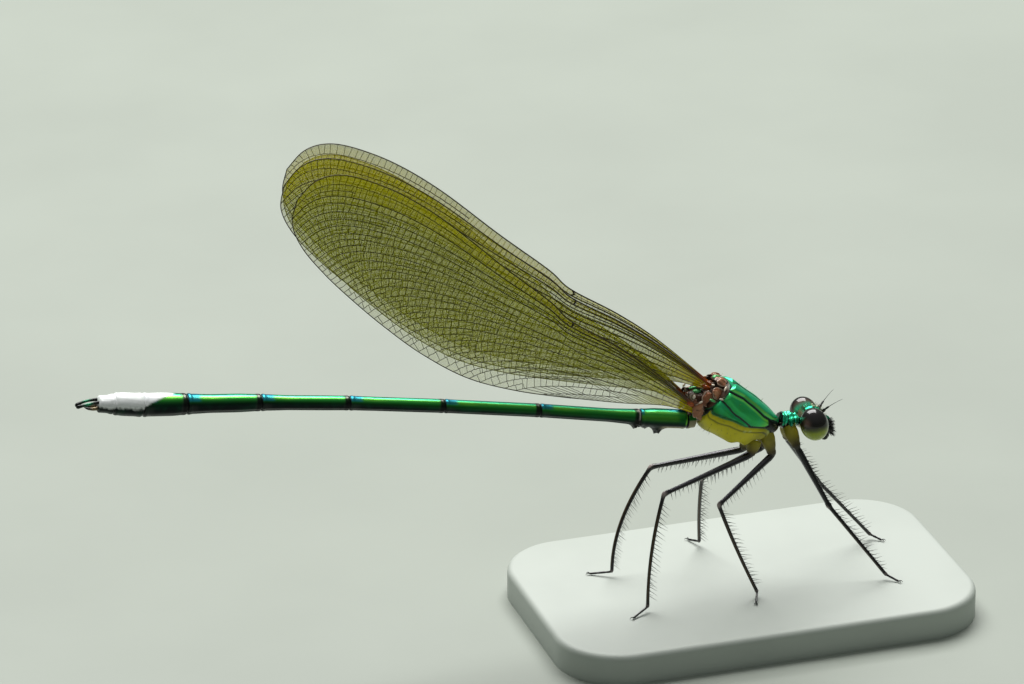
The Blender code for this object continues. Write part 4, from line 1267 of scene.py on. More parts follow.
def build_prothorax():
    """Collar, middle lobes and front collar of the neck shield, over a dark neck."""
    rows, columns = 110, 96
    share = np.linspace(0.0, 1.0, rows)[:, None]
    turns = full_turn(columns)
    degrees = from_first(turns)[None, :]
    axis_run = np.array(NECK_FRONT - NECK_REAR)
    start = np.array(NECK_REAR) - axis_run * 0.42
    course = start + axis_run * (share * 1.75)
    place = share * 1.75 - 0.42
    base = np.interp(place, (-0.42, -0.2, 0.0, 0.1, 0.2, 0.42, 0.62, 0.70, 0.84, 1.04, 1.33),
                     (0.58, 0.60, 0.58, 0.62, 0.52, 0.64, 0.62, 0.48, 0.56, 0.44, 0.36))
    radius = base * np.ones_like(degrees)
    radius = radius + 0.13 * bump(place, 0.07, 0.07) * bump(degrees, 0.0, 55.0)
    radius += 0.20 * bump(place, 0.40, 0.15) * bump(degrees, 42.0, 26.0)
    radius += 0.10 * bump(place, 0.44, 0.12) * bump(degrees, 96.0, 18.0)
    radius += 0.12 * bump(place, 0.80, 0.07) * bump(degrees, 35.0, 28.0)
    radius += 0.12 * bump(place, 0.78, 0.08) * bump(degrees, 92.0, 16.0)
    radius -= 0.05 * bump(place, 0.42, 0.3) * bump(degrees, 0.0, 7.0)
    rings = swept_rings(course, radius, LEFT_AXIS, columns)
    if rings[30, 0, 2] < rings[30, columns // 2, 2]:
        rings = np.roll(rings, columns // 2, axis=1)
    lumpy = ripple(on_insect(rings), 0.62 * MM, 5)
    rings = rings + 0.07 * lumpy[..., None] * unit(rings - course[:, None, :])
    groove = limited(bump(place, 0.22, 0.03) + bump(place, 0.70, 0.03))
    under = ease(degrees, 108.0, 122.0)
    ends = limited(ease(place, -0.24, -0.32) + ease(place, 1.12, 1.22))
    marks = {
        "tone": limited(degrees / 150.0 + 0.25 * (place > 0.2)),
        "yellow": 0.95 * bump(place, 0.72, 0.10) * bump(degrees, 100.0, 10.0),
        "pale": 0.8 * bump(place, 0.10, 0.10) * bump(degrees, 112.0, 9.0),
        "dark": limited(groove + under + ends),
        "shine": limited(1.0 - 0.6 * under),
    }
    mesh = skin_mesh("neck_shield", on_insect(rings), marks)
    add_piece("neck_shield", mesh, neck_cuticle(), "metallic_green", "prothorax")


def head_turn():
    """The rotation of the head."""
    return np.array(Matrix.Rotation(HEAD_TURN, 3, "Z") @ Matrix.Rotation(HEAD_TILT, 3, "X"))


def on_head(places):
    """Places in millimetres from the head's centre, in the part's own frame and in metres."""
    return on_insect(np.asarray(places, float) @ head_turn().T + np.array(HEAD_CENTRE))


def build_head():
    """Broad capsule between the eyes, with ridges, ocelli and a hollowed back."""
    rows, columns = 120, 144
    across = np.sin(np.linspace(-0.5 * math.pi, 0.5 * math.pi, rows + 2)[1:-1])[:, None]
    turns = full_turn(columns)[None, :]
    up, forward = np.cos(turns), np.sin(turns)
    girth = np.sqrt(limited(1.0 - across ** 2))
    x = HEAD_HALF[0] * girth * forward
    y = HEAD_HALF[1] * across * np.ones_like(turns)
    z = HEAD_HALF[2] * girth * up
    middle = bump(y, 0.0, 0.75)
    # Brow ridge across the front, hollow behind, and a shallow dip either side of the ocelli
    lift = 0.10 * bump(up, 0.62, 0.20) * (forward > 0) * bump(y, 0.0, 0.95)
    lift -= 0.20 * ease(-forward, 0.55, 0.95) * middle
    lift -= 0.05 * bump(np.abs(y), 0.42, 0.16) * ease(up, 0.6, 0.95)
    lift += 0.07 * bump(up, 0.45, 0.14) * (forward < 0) * bump(y, 0.0, 1.0)
    rings = np.stack([x, y, z], axis=-1)
    rings = rings + unit(rings) * lift[..., None]
    angle = np.degrees(np.arctan2(forward, up))
    tan_back = ease(-angle, 40.0, 58.0) * ease(-angle, 178.0, 150.0)
    front_dark = ease(angle, 30.0, 44.0)
    under = ease(np.abs(angle), 120.0, 140.0)
    marks = {
        "tone": limited(0.10 + 0.5 * np.abs(angle - 2.0) / 60.0),
        "tan": tan_back,
        "dark": limited(front_dark + under + 0.75 * bump(angle, -34.0, 6.0)),
        "pale": 0.0,
        "shine": limited(1.0 - tan_back),
    }
    mesh = skin_mesh("head_skin", on_head(rings), marks)
    add_piece("head_skin", mesh, head_cuticle(), "metallic_green", "head")
    build_eyes()
    build_ocelli()
    build_antennae()
    build_face()


def build_eyes():
    """Large globes let into the ends of the head, a little flatter where they meet it."""
    material = eye_lens()
    for side, sign in SIDES:
        centre = np.array((EYE_OFFSET[0], sign * EYE_OFFSET[1], EYE_OFFSET[2]))
        rows, columns = 90, 120
        polar = np.linspace(0.0, math.pi, rows + 2)[1:-1][:, None]
        turns = full_turn(columns)[None, :]
        out = np.cos(polar) * np.ones_like(turns)
        forward = np.sin(polar) * np.sin(turns)
        up = np.sin(polar) * np.cos(turns)
        rings = np.stack([forward * EYE_HALF[0], sign * out * EYE_HALF[1], up * EYE_HALF[2]], axis=-1)
        height = up * 0.97 + forward * 0.16 + 0.10 * out
        uneven = 0.02 * ripple(rings * MM, 0.8 * MM, 9)
        marks = {
            "tone": limited(0.5 + 0.5 * height + uneven),
            "haze": limited(0.55 * bump(forward, -0.55, 0.20) * bump(up, 0.38, 0.22) * ease(out, 0.2, 0.5)
                            + 0.45 * ease(out, -0.1, -0.6)),
            # Painted reflection of the green head on the eye's inner side
            "head_reflection": 0.85 * bump(out, -0.70, 0.17) * bump(up, 0.55, 0.22),
        }
        leant = rings @ np.array(Matrix.Rotation(EYE_LEAN, 3, "Y")).T
        mesh = skin_mesh("eye_globe_" + side, on_head(leant + centre), marks)
        add_piece("eye_globe_" + side, mesh, material, "eye_dark", "eye_" + side)


def build_ocelli():
    """Three simple eyes as pale glossy beads on the top of the head."""
    parts = []
    for place in ((0.50, 0.0, 0.92), (0.16, 0.27, 1.04), (0.16, -0.27, 1.04)):
        points, faces, _ = blob(place, (0.11, 0.11, 0.085), Matrix.Identity(3), 0.0, 1, 14, 20)
        parts.append((on_head(points), faces, {
            "tone": 0.4, "tan": 0.0, "dark": 0.0, "pale": 0.85, "shine": 0.0}))
    mesh = outward(join_meshes("ocelli", parts))
    add_piece("ocelli", mesh, head_cuticle(), "eye_dark")


def build_antennae():
    """Short feelers: two thick joints at the root and a fine whip."""
    material = leg_cuticle()
    for side, sign in SIDES:
        start = np.array((0.80, sign * 0.56, 0.68))
        heading = unit(np.array((0.62, sign * 0.45, 0.64)))
        places = np.linspace(0.0, 1.0, 56)
        droop = np.array((0.10, 0.0, -0.22)) * places[:, None] ** 2
        course = start + heading * (places * 2.05)[:, None] + droop
        radii = np.interp(places, (0.0, 0.06, 0.13, 0.16, 0.20, 0.30, 0.34, 0.36, 0.60, 1.0),
                          (0.13, 0.125, 0.105, 0.065, 0.08, 0.075, 0.036, 0.028, 0.018, 0.010))
        rings = swept_rings(course, radii, LEFT_AXIS, 18)
        mesh = skin_mesh("feeler_" + side, on_head(rings), {
            "tone": 0.8, "brown": 0.0, "grey": 0.0, "pale": 0.0, "shine": 1.0})
        add_piece("feeler_" + side, mesh, material, "black_gloss", "antenna_" + side)


# Plates of the face: place from the head's centre, half sizes, heading, spin, layer
FACE_PLATES = (
    ((0.92, 0.0, -0.10), (0.50, 0.62, 0.34), (0.1, 0.0, 1.0), 0, "green"),
    ((1.04, 0.0, -0.46), (0.46, 0.66, 0.30), (0.1, 0.0, 1.0), 0, None),
    ((1.14, 0.0, -0.88), (0.50, 0.62, 0.42), (0.2, 0.0, 1.0), 0, None),
    ((0.92, 0.52, -0.88), (0.34, 0.24, 0.42), (0.3, 0.5, 0.2), 0, None),
    ((0.92, -0.52, -0.88), (0.34, 0.24, 0.42), (0.3, -0.5, 0.2), 0, None),
    ((1.02, 0.55, -0.62), (0.22, 0.16, 0.20), (0.6, 0.5, 0.2), 0, "tan"),
    ((1.02, -0.55, -0.62), (0.22, 0.16, 0.20), (0.6, -0.5, 0.2), 0, "tan"),
    ((1.18, 0.34, -0.24), (0.14, 0.12, 0.10), (0.6, 0.5, 0.2), 0, "tan"),
    ((1.18, -0.34, -0.24), (0.14, 0.12, 0.10), (0.6, -0.5, 0.2), 0, "tan"),
    ((0.86, 0.0, -1.26), (0.56, 0.56, 0.40), (0.3, 0.0, 1.0), 0, None),
    ((0.98, 0.26, -1.46), (0.40, 0.26, 0.22), (0.3, 0.2, 1.0), 0, None),
    ((0.98, -0.26, -1.46), (0.40, 0.26, 0.22), (0.3, -0.2, 1.0), 0, None),
)


def build_face():
    """Bulging clypeus, upper lip, jaws and lower lip as separate glossy plates."""
    parts = []
    for index, (place, half, heading, spin, layer) in enumerate(FACE_PLATES):
        turn = turn_towards(heading, spin)
        points, faces, height = blob(place, half, turn, 0.035, 80 + index // 2, 30, 44)
        marks = {"green": 0.0, "tan": 0.0, "tone": 0.5, "shine": 0.2}
        if layer == "green":
            marks["green"] = 0.85 * ease(height, 0.1, 0.6)
            marks["shine"] = 0.9
        elif layer == "tan":
            marks["tan"] = 0.9
            marks["shine"] = 0.0
        parts.append((on_head(points), faces, marks))
    mesh = outward(join_meshes("face_plates", parts))
    add_piece("face_plates", mesh, face_cuticle(), "black_gloss", "mouthparts")


# Wings


def long_vein_plan():
    """A reader of flat places on a wing, in shares of its length, from shares across and along.

    Lines of one share across are arched like the long veins, and the first and last follow the outline.
    """
    leading = even_path(WING_LEADING)
    margin = even_path(WING_HIND[:WING_SPLIT + 1])
    anal = even_path(tuple(reversed(WING_HIND[WING_SPLIT:])))
    root_first, root_last = (unit(np.array(heading)) for heading in VEIN_ROOT_HEADINGS)
    headings = unit(np.array(VEIN_MARGIN_HEADINGS))

    def arch(across, along):
        start = leading(0.0) * (1.0 - across[..., None]) + anal(0.0) * across[..., None]
        end = margin(across)
        reach = np.linalg.norm(end - start, axis=-1, keepdims=True)
        out = unit(root_first * (1.0 - across[..., None]) + root_last * across[..., None])
        back = unit(read_table(across, VEIN_MARGIN_SHARES, headings))
        first_pull, last_pull = VEIN_MARGIN_PULLS
        pull = first_pull + (last_pull - first_pull) * across[..., None]
        first = start + out * reach * VEIN_ROOT_PULL
        second = end - back * reach * pull
        t = along[..., None]
        rest = 1.0 - t
        return start * rest ** 3 + first * 3 * rest ** 2 * t + second * 3 * rest * t ** 2 + end * t ** 3

    def place(across, along):
        across, along = np.broadcast_arrays(np.asarray(across, float), np.asarray(along, float))
        share = across[..., None]
        front = (leading(along) - arch(np.zeros_like(across), along)) * (1.0 - share) ** WING_EDGE_HOLD
        rear = (anal(along) - arch(np.ones_like(across), along)) * share ** WING_EDGE_HOLD
        return arch(across, along) + front + rear

    return place


class WingSheet:
    """One wing: its plan in millimetres, its pleats, and its place on the insect."""

    def __init__(self, name, pleat):
        self.name = name
        self.design = FOREWING if name.startswith("forewing") else HINDWING
        self.sign = 1.0 if name.endswith("left") else -1.0
        self.plan = long_vein_plan()
        self.pleat = pleat
        lift = math.radians(WING_ELEVATION[name])
        self.outward = np.array((-math.cos(lift), 0.0, math.sin(lift)))
        self.upward = np.array((math.sin(lift), 0.0, math.cos(lift)))

    def flat(self, across, along):
        """Flat place in millimetres from the root."""
        spots = self.plan(across, along)
        return spots * np.array((self.design["length"], self.design["length"] * self.design["chord"]))

    def height(self, across, along):
        """How far the sheet stands out of its plane: stems are crests and troughs by turns."""
        stems = np.array([stem[0] for stem in WING_STEMS])
        crests = np.array([1.0 if index % 2 == 0 else -1.0 for index in range(len(stems))])
        across, along = np.broadcast_arrays(across, along)
        wave = np.interp(across, stems, crests)
        fade = ease(along, 0.0, 0.05) * (0.25 + 0.75 * ease(along, 0.75, 0.15)) * ease(along, 1.0, 0.93)
        return self.pleat * wave * fade * (1.0 - 0.4 * across)

    def placed(self, across, along, shift=None):
        """Places in the part's own frame, in metres; shift moves them flat, in millimetres."""
        spots = self.flat(across, along)
        if shift is not None:
            spots = spots + shift
        side = self.design["y_root"] + (self.design["y_blade"] - self.design["y_root"]) * ease(
            spots[..., 0], 0.0, WING_SPREAD_OVER)
        side = side + self.height(across, along)
        x, z = self.design["root"]
        places = np.array((x, 0.0, z)) + self.outward * spots[..., :1] + self.upward * spots[..., 1:2]
        places[..., 1] += self.sign * side
        return on_insect(places)


def spacing(wing, low, high, along):
    """Distance in mm between two long veins, square to them."""
    first, second = wing.flat(low, along), wing.flat(high, along)
    heading = unit(np.gradient((first + second) / 2, axis=0) + 1e-12)
    step = second - first
    return np.abs(step[:, 0] * heading[:, 1] - step[:, 1] * heading[:, 0])


class VeinNet:
    """The veins of one wing as runs of points, each with its thickness."""

    def __init__(self, wing, cell, crossvein, seed):
        self.wing = wing
        self.cell = cell
        self.crossvein = crossvein
        self.rng = random.Random(seed)
        self.runs = []
        self.zigzag = {}

    def sway(self, across, along):
        """Sideways zigzag of the finer long veins, flat in millimetres."""
        size, pitch, phase = self.zigzag.get(round(float(across), 6), (0.0, 1.0, 0.0))
        reach = np.asarray(along) * self.wing.design["length"]
        swing = size * np.sin(reach * 2 * math.pi / pitch + phase) * ease(along, 0.25, 0.5)
        return np.stack([0.35 * swing, swing], axis=-1)

    def add_long(self, across, start, end, radius, tip_radius):
        count = max(int((end - start) * self.wing.design["length"] / 0.30), 4)
        along = np.linspace(start, end, count)
        points = self.wing.placed(np.full(count, across), along, self.sway(across, along))
        reach = self.wing.flat(np.full(count, across), along)[:, 0] / self.wing.design["length"]
        slimmer = np.linspace(0.0, 1.0, count) ** 0.7
        at_root = 0.66 + 0.34 * ease(reach, 0.02, 0.24)
        self.runs.append((points, (radius + (tip_radius - radius) * slimmer) * at_root, reach))

    def add_cross(self, low, high, along, radius):
        """A crossvein square to two long veins."""
        pair = np.array((low, high))
        step = 0.002
        here = self.wing.flat(pair, np.full(2, along))
        ahead = self.wing.flat(pair, np.full(2, along + step))
        run = (ahead - here).mean(axis=0)
        speed = np.linalg.norm(run) / step
        run = run / max(np.linalg.norm(run), 1e-9)
        shift = float(np.dot(here[1] - here[0], run)) / max(speed, 1e-6)
        lean = self.rng.uniform(-0.05, 0.05) / max(speed, 1e-6)
        ends = limited((along + shift / 2 + lean, along - shift / 2 - lean))
        if abs(shift) > 0.12:
            ends = np.array((along, along))
        sways = np.concatenate([self.sway(low, ends[:1]), self.sway(high, ends[1:])])
        points = self.wing.placed(pair, ends, sways)
        reach = self.wing.flat(pair, ends)[:, 0] / self.wing.design["length"]
        self.runs.append((points, np.full(2, radius), reach))

    def add_cells(self, low, high, start, end, pitch):
        """Crossveins between two neighbouring long veins over one stretch."""
        along = np.linspace(start, end, 60)
        middle = self.wing.flat(np.full(60, (low + high) / 2), along)
        reach = arc_lengths(middle)
        place = pitch * self.rng.uniform(0.4, 0.9)
        while place < reach[-1] - 0.4 * pitch:
            where = float(np.interp(place, reach, along))
            if where > self.first_cross(low):
                self.add_cross(low, high, where, self.crossvein)
            place += pitch * self.rng.uniform(0.82, 1.18)

    def first_cross(self, across):
        """The cells next to the root are long and open."""
        return 0.05 if across < 0.04 else (0.10 if across < 0.4 else 0.07)

    def fill(self, low, high, start, end, level):
        """Halves a field with a finer long vein where it grows wide, and closes its cells."""
        along = np.linspace(start, end, 160)
        widths = spacing(self.wing, low, high, along)
        wide = np.nonzero(widths > self.cell * 1.5)[0]
        pitch = self.cell * (0.88 if high <= 0.05 else 0.92)
        if len(wide) == 0 or along[wide[0]] > end - 0.035 or level > 6:
            self.add_cells(low, high, start, end, pitch)
            return
        begin = float(along[wide[0]])
        still_wide = np.nonzero(widths > self.cell * 1.0)[0]
        stop = float(along[still_wide[-1]])
        if stop < end - 0.015 and stop > begin + 0.05:
            self.add_cross(low, high, stop, self.crossvein)
            self.add_cells(low, high, stop, end, pitch)
            end = stop
        middle = (low + high) / 2 + (high - low) * self.rng.uniform(-0.05, 0.05)
        swing = 0.012 + 0.010 * level
        self.zigzag[round(middle, 6)] = (swing, self.rng.uniform(0.8, 1.0), self.rng.uniform(0, 6.28))
        if begin > start + 0.01:
            self.add_cells(low, high, start, begin, pitch)
            self.add_cross(low, high, begin, self.crossvein)
        radius = max(0.036 - 0.004 * level, 0.024)
        self.add_long(middle, begin, end, radius, 0.023)
        self.fill(low, middle, begin, end, level + 1)
        self.fill(middle, high, begin, end, level + 1)

    def draw(self):
        """All veins: stems, the outline, the finer long veins and the crossveins."""
        for across, radius, end in WING_STEMS:
            self.zigzag[round(across, 6)] = (0.0, 1.0, 0.0)
            self.add_long(across, 0.0, end, radius, radius * 0.5 if across < 0.06 else 0.027)
        self.add_margin()
        for (low, _, low_end), (high, _, high_end) in zip(WING_STEMS, WING_STEMS[1:]):
            end = min(low_end, high_end)
            self.fill(low, high, 0.02, end, 0)
            if end < 1.0 and high_end < 1.0:
                after = [stem[0] for stem in WING_STEMS if stem[0] > high][0]
                self.fill(low, after, end, 1.0, 0)
        self.add_nodus()

    def add_margin(self):
        """The hind margin's own vein, from the tip round to the anal corner."""
        across = np.linspace(0.0, 1.0, 150)
        points = self.wing.placed(across, np.ones(150))
        reach = self.wing.flat(across, np.ones(150))[:, 0] / self.wing.design["length"]
        self.runs.append((points, np.full(150, 0.038), reach))

    def add_nodus(self):
        """A stout, slanting bar across the leading veins at the kink of the leading edge."""
        across = np.array((0.0, 0.022, 0.048))
        along = np.array((NODUS_ALONG, NODUS_ALONG - 0.004, NODUS_ALONG + 0.002))
        points = self.wing.placed(across, along)
        self.runs.append((points, np.array((0.09, 0.08, 0.07)), np.full(3, 0.4)))

    def guide_mesh(self, name):
        """Runs of edges with their thickness and reach as values on the points."""
        points = np.concatenate([run[0] for run in self.runs])
        edges = []
        start = 0
        for run in self.runs:
            count = len(run[0])
            edges += [(start + index, start + index + 1) for index in range(count - 1)]
            start += count
        mesh = bpy.data.meshes.new(name)
        mesh.from_pydata(points.tolist(), edges, [])
        add_mark(mesh, "thickness", np.concatenate([run[1] for run in self.runs]) * MM)
        add_mark(mesh, "reach", limited(np.concatenate([run[2] for run in self.runs])))
        return mesh


def membrane_mesh(wing, thickness):
    """The clear sheet of one wing as a thin closed plate that follows the pleats."""
    stems = [stem[0] for stem in WING_STEMS]
    across = np.unique(np.concatenate([stems, np.linspace(0.0, 1.0, 121)]).round(5))
    along = np.unique(np.concatenate([np.linspace(0.0, 0.2, 30), np.linspace(0.2, 1.0, 100)]).round(5))
    grid_across, grid_along = np.meshgrid(across, along)
    places = wing.placed(grid_across, grid_along)
    rows, columns = places.shape[:2]
    lift = np.array((0.0, thickness / 2, 0.0))
    points = np.concatenate([(places + lift).reshape(-1, 3), (places - lift).reshape(-1, 3)])
    count = rows * columns
    index = np.arange(count).reshape(rows, columns)
    quads = np.stack([index[:-1, :-1], index[:-1, 1:], index[1:, 1:], index[1:, :-1]], axis=-1)
    quads = quads.reshape(-1, 4)
    faces = quads.tolist() + (quads[:, ::-1] + count).tolist()
    rim = np.concatenate([index[0, :-1], index[:-1, -1], index[-1, :0:-1], index[:0:-1, 0]])
    for first, second in zip(rim, np.roll(rim, -1)):
        faces.append([int(second), int(first), int(first) + count, int(second) + count])
    mesh = mesh_from(wing.name + "_membrane", points, faces)
    flat = wing.flat(grid_across, grid_along)
    reach = flat[..., 0]
    tint = 0.38 + 0.44 * ease(reach, 7.5, 1.0)
    tint += 0.28 * ease(grid_across, 0.085, 0.03) * ease(reach, 2.0, 8.0)
    tint -= 0.12 * ease(grid_across, 0.66, 0.95) * ease(reach, 2.0, 8.0)
    add_mark(mesh, "tint", np.tile(limited(tint).reshape(-1), 2))
    return mesh


def build_wings():
    """Four pleated sheets, each with its net of veins."""
    tree = vein_tree()
    sheet = wing_membrane()
    chitin = wing_vein_chitin()
    s = sizes()
    for seed, name in enumerate(WING_ELEVATION):
        wing = WingSheet(name, s.pleat_height / MM)
        mesh = membrane_mesh(wing, s.membrane_thickness)
        add_piece(name + "_membrane", mesh, sheet, "wing_amber", name)
        net = VeinNet(wing, s.cell_width / MM, s.crossvein_radius / MM, 11 + seed)
        net.draw()
        guide = net.guide_mesh(name + "_guide")
        veins = grown_mesh(name + "_veins", guide, tree, {"Sides": 5, "Material": chitin})
        add_piece(name + "_veins", veins, chitin, "wing_vein", name)


# Legs


def leg_course(name):
    """Midline points in mm, and at each the joint number with the share of the limb."""
    joints = np.array(LEG_JOINTS[name], float)
    joints[0] += (joints[0] - joints[1]) * 0.5
    joints[3, 2] -= ANKLE_DROP
    joints[4, 2] -= TOE_DROP
    points = []
    spans = []
    for limb, (start, end) in enumerate(zip(joints, joints[1:])):
        count = max(int(np.linalg.norm(end - start) / LEG_RING_STEP), 6)
        share = np.linspace(0.0, 1.0, count, endpoint=limb == 3)
        run = start + (end - start) * share[:, None]
        if limb == 2:
            run[:, 0] -= TIBIA_BOW[name] * 4.0 * share * (1.0 - share)
        points.append(run)
        spans.append(limb + share)
    points = np.concatenate(points)
    kernel = np.hanning(7)[1:-1]
    padded = np.concatenate([points[:1].repeat(2, axis=0), points, points[-1:].repeat(2, axis=0)])
    rounded = np.stack([
        np.convolve(padded[:, axis], kernel / kernel.sum(), mode="valid") for axis in range(3)
    ], axis=-1)
    rounded[0], rounded[-1] = points[0], points[-1]
    return rounded, np.concatenate(spans)


def leg_plane(name):
    """The vector square to the plane of the knee's bend."""
    _, trochanter, knee, ankle, _ = np.array(LEG_JOINTS[name], float)
    return unit(np.cross(knee - trochanter, ankle - knee))


def build_legs():
    """Each leg as one skin from its root to the foot, with ridged limbs and swollen joints."""
    material = leg_cuticle()
    hooks = []
    for name in LEG_JOINTS:
        course, spans = leg_course(name)
        girth = np.array(LEG_GIRTH)
        radii = np.interp(spans, girth[:, 0], girth[:, 1])
        turns = full_turn(LEG_COLUMNS)
        has_ridges = ((spans > 1.08) & (spans < 2.95))[:, None]
        ridged = 1.0 + 0.05 * np.cos(4.0 * turns + 0.6)[None, :] * has_ridges
        rings = swept_rings(course, radii[:, None] * ridged, leg_plane(name), LEG_COLUMNS)
        rings[..., 2] = np.maximum(rings[..., 2], FOOT_LEVEL)
        toward = np.cos(turns)[None, :]
        span = spans[:, None]
        marks = {
            "tone": limited(span / 4.0),
            "brown": 0.75 * ease(span, 2.05, 2.25) * ease(span, 2.98, 2.9) * bump(toward, -0.5, 0.5),
            # Painted highlight: grey along one side of the thigh. Painted glints: pale at the knee and the
            # ankle
            "grey": 0.75 * ease(span, 1.05, 1.15) * ease(span, 1.96, 1.9) * bump(toward, -0.85, 0.35),
            "pale": 0.75 * bump(span, 2.0, 0.022) * ease(toward, 0.3, -0.4) + 0.3 * bump(span, 3.0, 0.02),
            "shine": ease(span, 0.95, 1.05),
        }
        mesh = skin_mesh("leg_" + name, on_insect(rings), marks)
        nodes = [part + "_" + name for part in ("coxa", "femur", "tibia", "tarsus")]
        add_piece("leg_" + name, mesh, material, "black_gloss", *nodes)
        hooks += foot_hooks(course)
    claws = outward(join_meshes("claws", hooks))
    add_piece("claws", claws, face_cuticle(), "black_gloss")


def foot_hooks(course):
    """Two small curved claws at the end of a foot."""
    toe = course[-1]
    heading = unit((course[-1] - course[-6]) * np.array((1.0, 1.0, 0.0)))
    aside = np.array((-heading[1], heading[0], 0.0))
    parts = []
    for sign in (1.0, -1.0):
        spots = np.array([
            toe - heading * 0.04,
            toe + heading * 0.10 + aside * sign * 0.07 + UP_AXIS * 0.06,
            toe + heading * 0.22 + aside * sign * 0.12 + UP_AXIS * 0.03,
            toe + heading * 0.28 + aside * sign * 0.13 - UP_AXIS * 0.06,
        ])
        places = np.linspace(0.0, 3.0, 16)
        radii = np.interp(places, (0.0, 1.0, 3.0), (0.045, 0.036, 0.010))
        rings = swept_rings(smooth_curve(spots, places), radii, aside, 10)
        marks = {"tone": 0.5, "shine": 0.2, "green": 0.0, "tan": 0.0}
        parts.append((with_poles(on_insect(rings)), ring_faces(16, 10), marks))
    return parts


# Bristles and hairs


def hair_shape():
    """One hair of length and width 1 along +Z: four-sided, tapered and slightly bent."""
    levels = np.array((0.0, 0.35, 0.7, 1.0))
    widths = np.array((1.0, 0.75, 0.42, 0.10))
    course = np.stack([0.9 * levels ** 2, np.zeros(4), levels], axis=-1)
    turns = full_turn(4)
    circle = np.stack([np.cos(turns), np.sin(turns), np.zeros(4)], axis=-1)
    rings = course[:, None, :] + widths[:, None, None] * circle
    mesh = mesh_from("hair_shape", with_poles(rings), ring_faces(4, 4))
    return linked_object("hair_shape", mesh)


def hair_mesh(name, roots, hair, tree, width, seed, material):
    """Hairs from a list of (place, heading, length), in millimetres and in the part's directions."""
    places = on_insect([root[0] for root in roots])
    guide = bpy.data.meshes.new(name + "_roots")
    guide.from_pydata(places.tolist(), [], [])
    add_mark(guide, "reach", np.array([root[2] for root in roots]) * MM)
    headings = guide.attributes.new("heading", "FLOAT_VECTOR", "POINT")
    headings.data.foreach_set("vector", np.array([root[1] for root in roots], np.float32).ravel())
    return grown_mesh(name, guide, tree, {
        "Hair": hair, "Width": width, "Width Spread": width * 0.15, "Seed": seed, "Material": material})


def leg_bristle_roots(name, rng, longest, pitch):
    """Two rows on the inner side of the knee's bend, and finer hairs on the rest of the limb."""
    course, spans = leg_course(name)
    across = leg_plane(name)
    along = unit(np.gradient(course, axis=0))
    inner = unit(np.cross(across, along))
    reach = arc_lengths(course)
    girth = np.array(LEG_GIRTH)
    roots = []
    stretches = ((1.16, 1.95, 0.80), (2.06, 2.93, 1.0))
    for first, last, scale in stretches:
        start, end = np.interp((first, last), spans, reach)
        for row, tilt in enumerate((-0.62, 0.62)):
            place = start + pitch * (0.3 + 0.5 * row)
            while place < end:
                spot = read_table(place, reach, course)
                index = int(np.clip(np.searchsorted(reach, place), 1, len(reach) - 1))
                radius = np.interp(spans[index], girth[:, 0], girth[:, 1])
                lean = tilt + rng.uniform(-0.16, 0.16)
                out = inner[index] * math.cos(lean) + across * math.sin(lean)
                heading = unit(out + along[index] * rng.uniform(0.30, 0.62))
                share = (place - start) / (end - start)
                size = longest * scale * rng.uniform(0.72, 1.05) * (1.0 - 0.35 * abs(share - 0.35))
                roots.append((spot + out * radius * 0.8, heading, size))
                place += pitch * rng.uniform(0.85, 1.15)
    return roots


def face_hair_roots(rng):
    """Short hairs round the mouth and face."""
    roots = []
    turn = head_turn()
    centre = np.array((1.02, 0.0, -0.70))
    half = np.array((0.58, 0.66, 0.92))
    for _ in range(FACE_HAIRS):
        lift = rng.uniform(-1.75, 0.15)
        side = rng.uniform(-0.62, 0.62)
        direction = unit(np.array((rng.uniform(0.5, 1.0), side, (lift + 0.70) * 0.9)))
        reach = 1.0 / np.linalg.norm(direction / half)
        spot = centre + direction * reach * 0.93
        heading = unit(direction + np.array((0.25, 0.0, -0.25)))
        size = rng.uniform(0.22, 0.46) * (1.25 if direction[2] < -0.3 else 0.9)
        roots.append((turn @ spot + np.array(HEAD_CENTRE), turn @ heading, size))
    return roots


def body_hair_roots(rng):
    """Sparse pale hairs on the thorax's underside and seams and on the top of the head."""
    roots = []
    _, degrees, places = thorax_grid(90, 120)
    centres = places.mean(axis=1)
    for _ in range(THORAX_HAIRS):
        row = rng.randrange(20, 84)
        column = rng.randrange(0, 120)
        if degrees[row, column] < 96 and rng.random() < 0.72:
            continue
        spot = places[row, column]
        out = unit(spot - centres[row])
        heading = unit(out + np.array((rng.uniform(-0.4, 0.1), 0.0, rng.uniform(-0.3, 0.3))))
        roots.append((spot - out * 0.05, heading, rng.uniform(0.22, 0.48)))
    turn = head_turn()
    for _ in range(HEAD_HAIRS):
        side = rng.uniform(-0.95, 0.95)
        angle = math.radians(rng.uniform(-60.0, 75.0))
        direction = np.array((math.sin(angle), 0.0, math.cos(angle)))
        spot = direction * np.array(HEAD_HALF) * math.sqrt(1 - (side / HEAD_HALF[1]) ** 2)
        spot[1] = side
        heading = unit(direction + np.array((0.2, side * 0.2, 0.1)))
        place = turn @ (spot * 0.98) + np.array(HEAD_CENTRE)
        roots.append((place, turn @ heading, rng.uniform(0.22, 0.42)))
    return roots


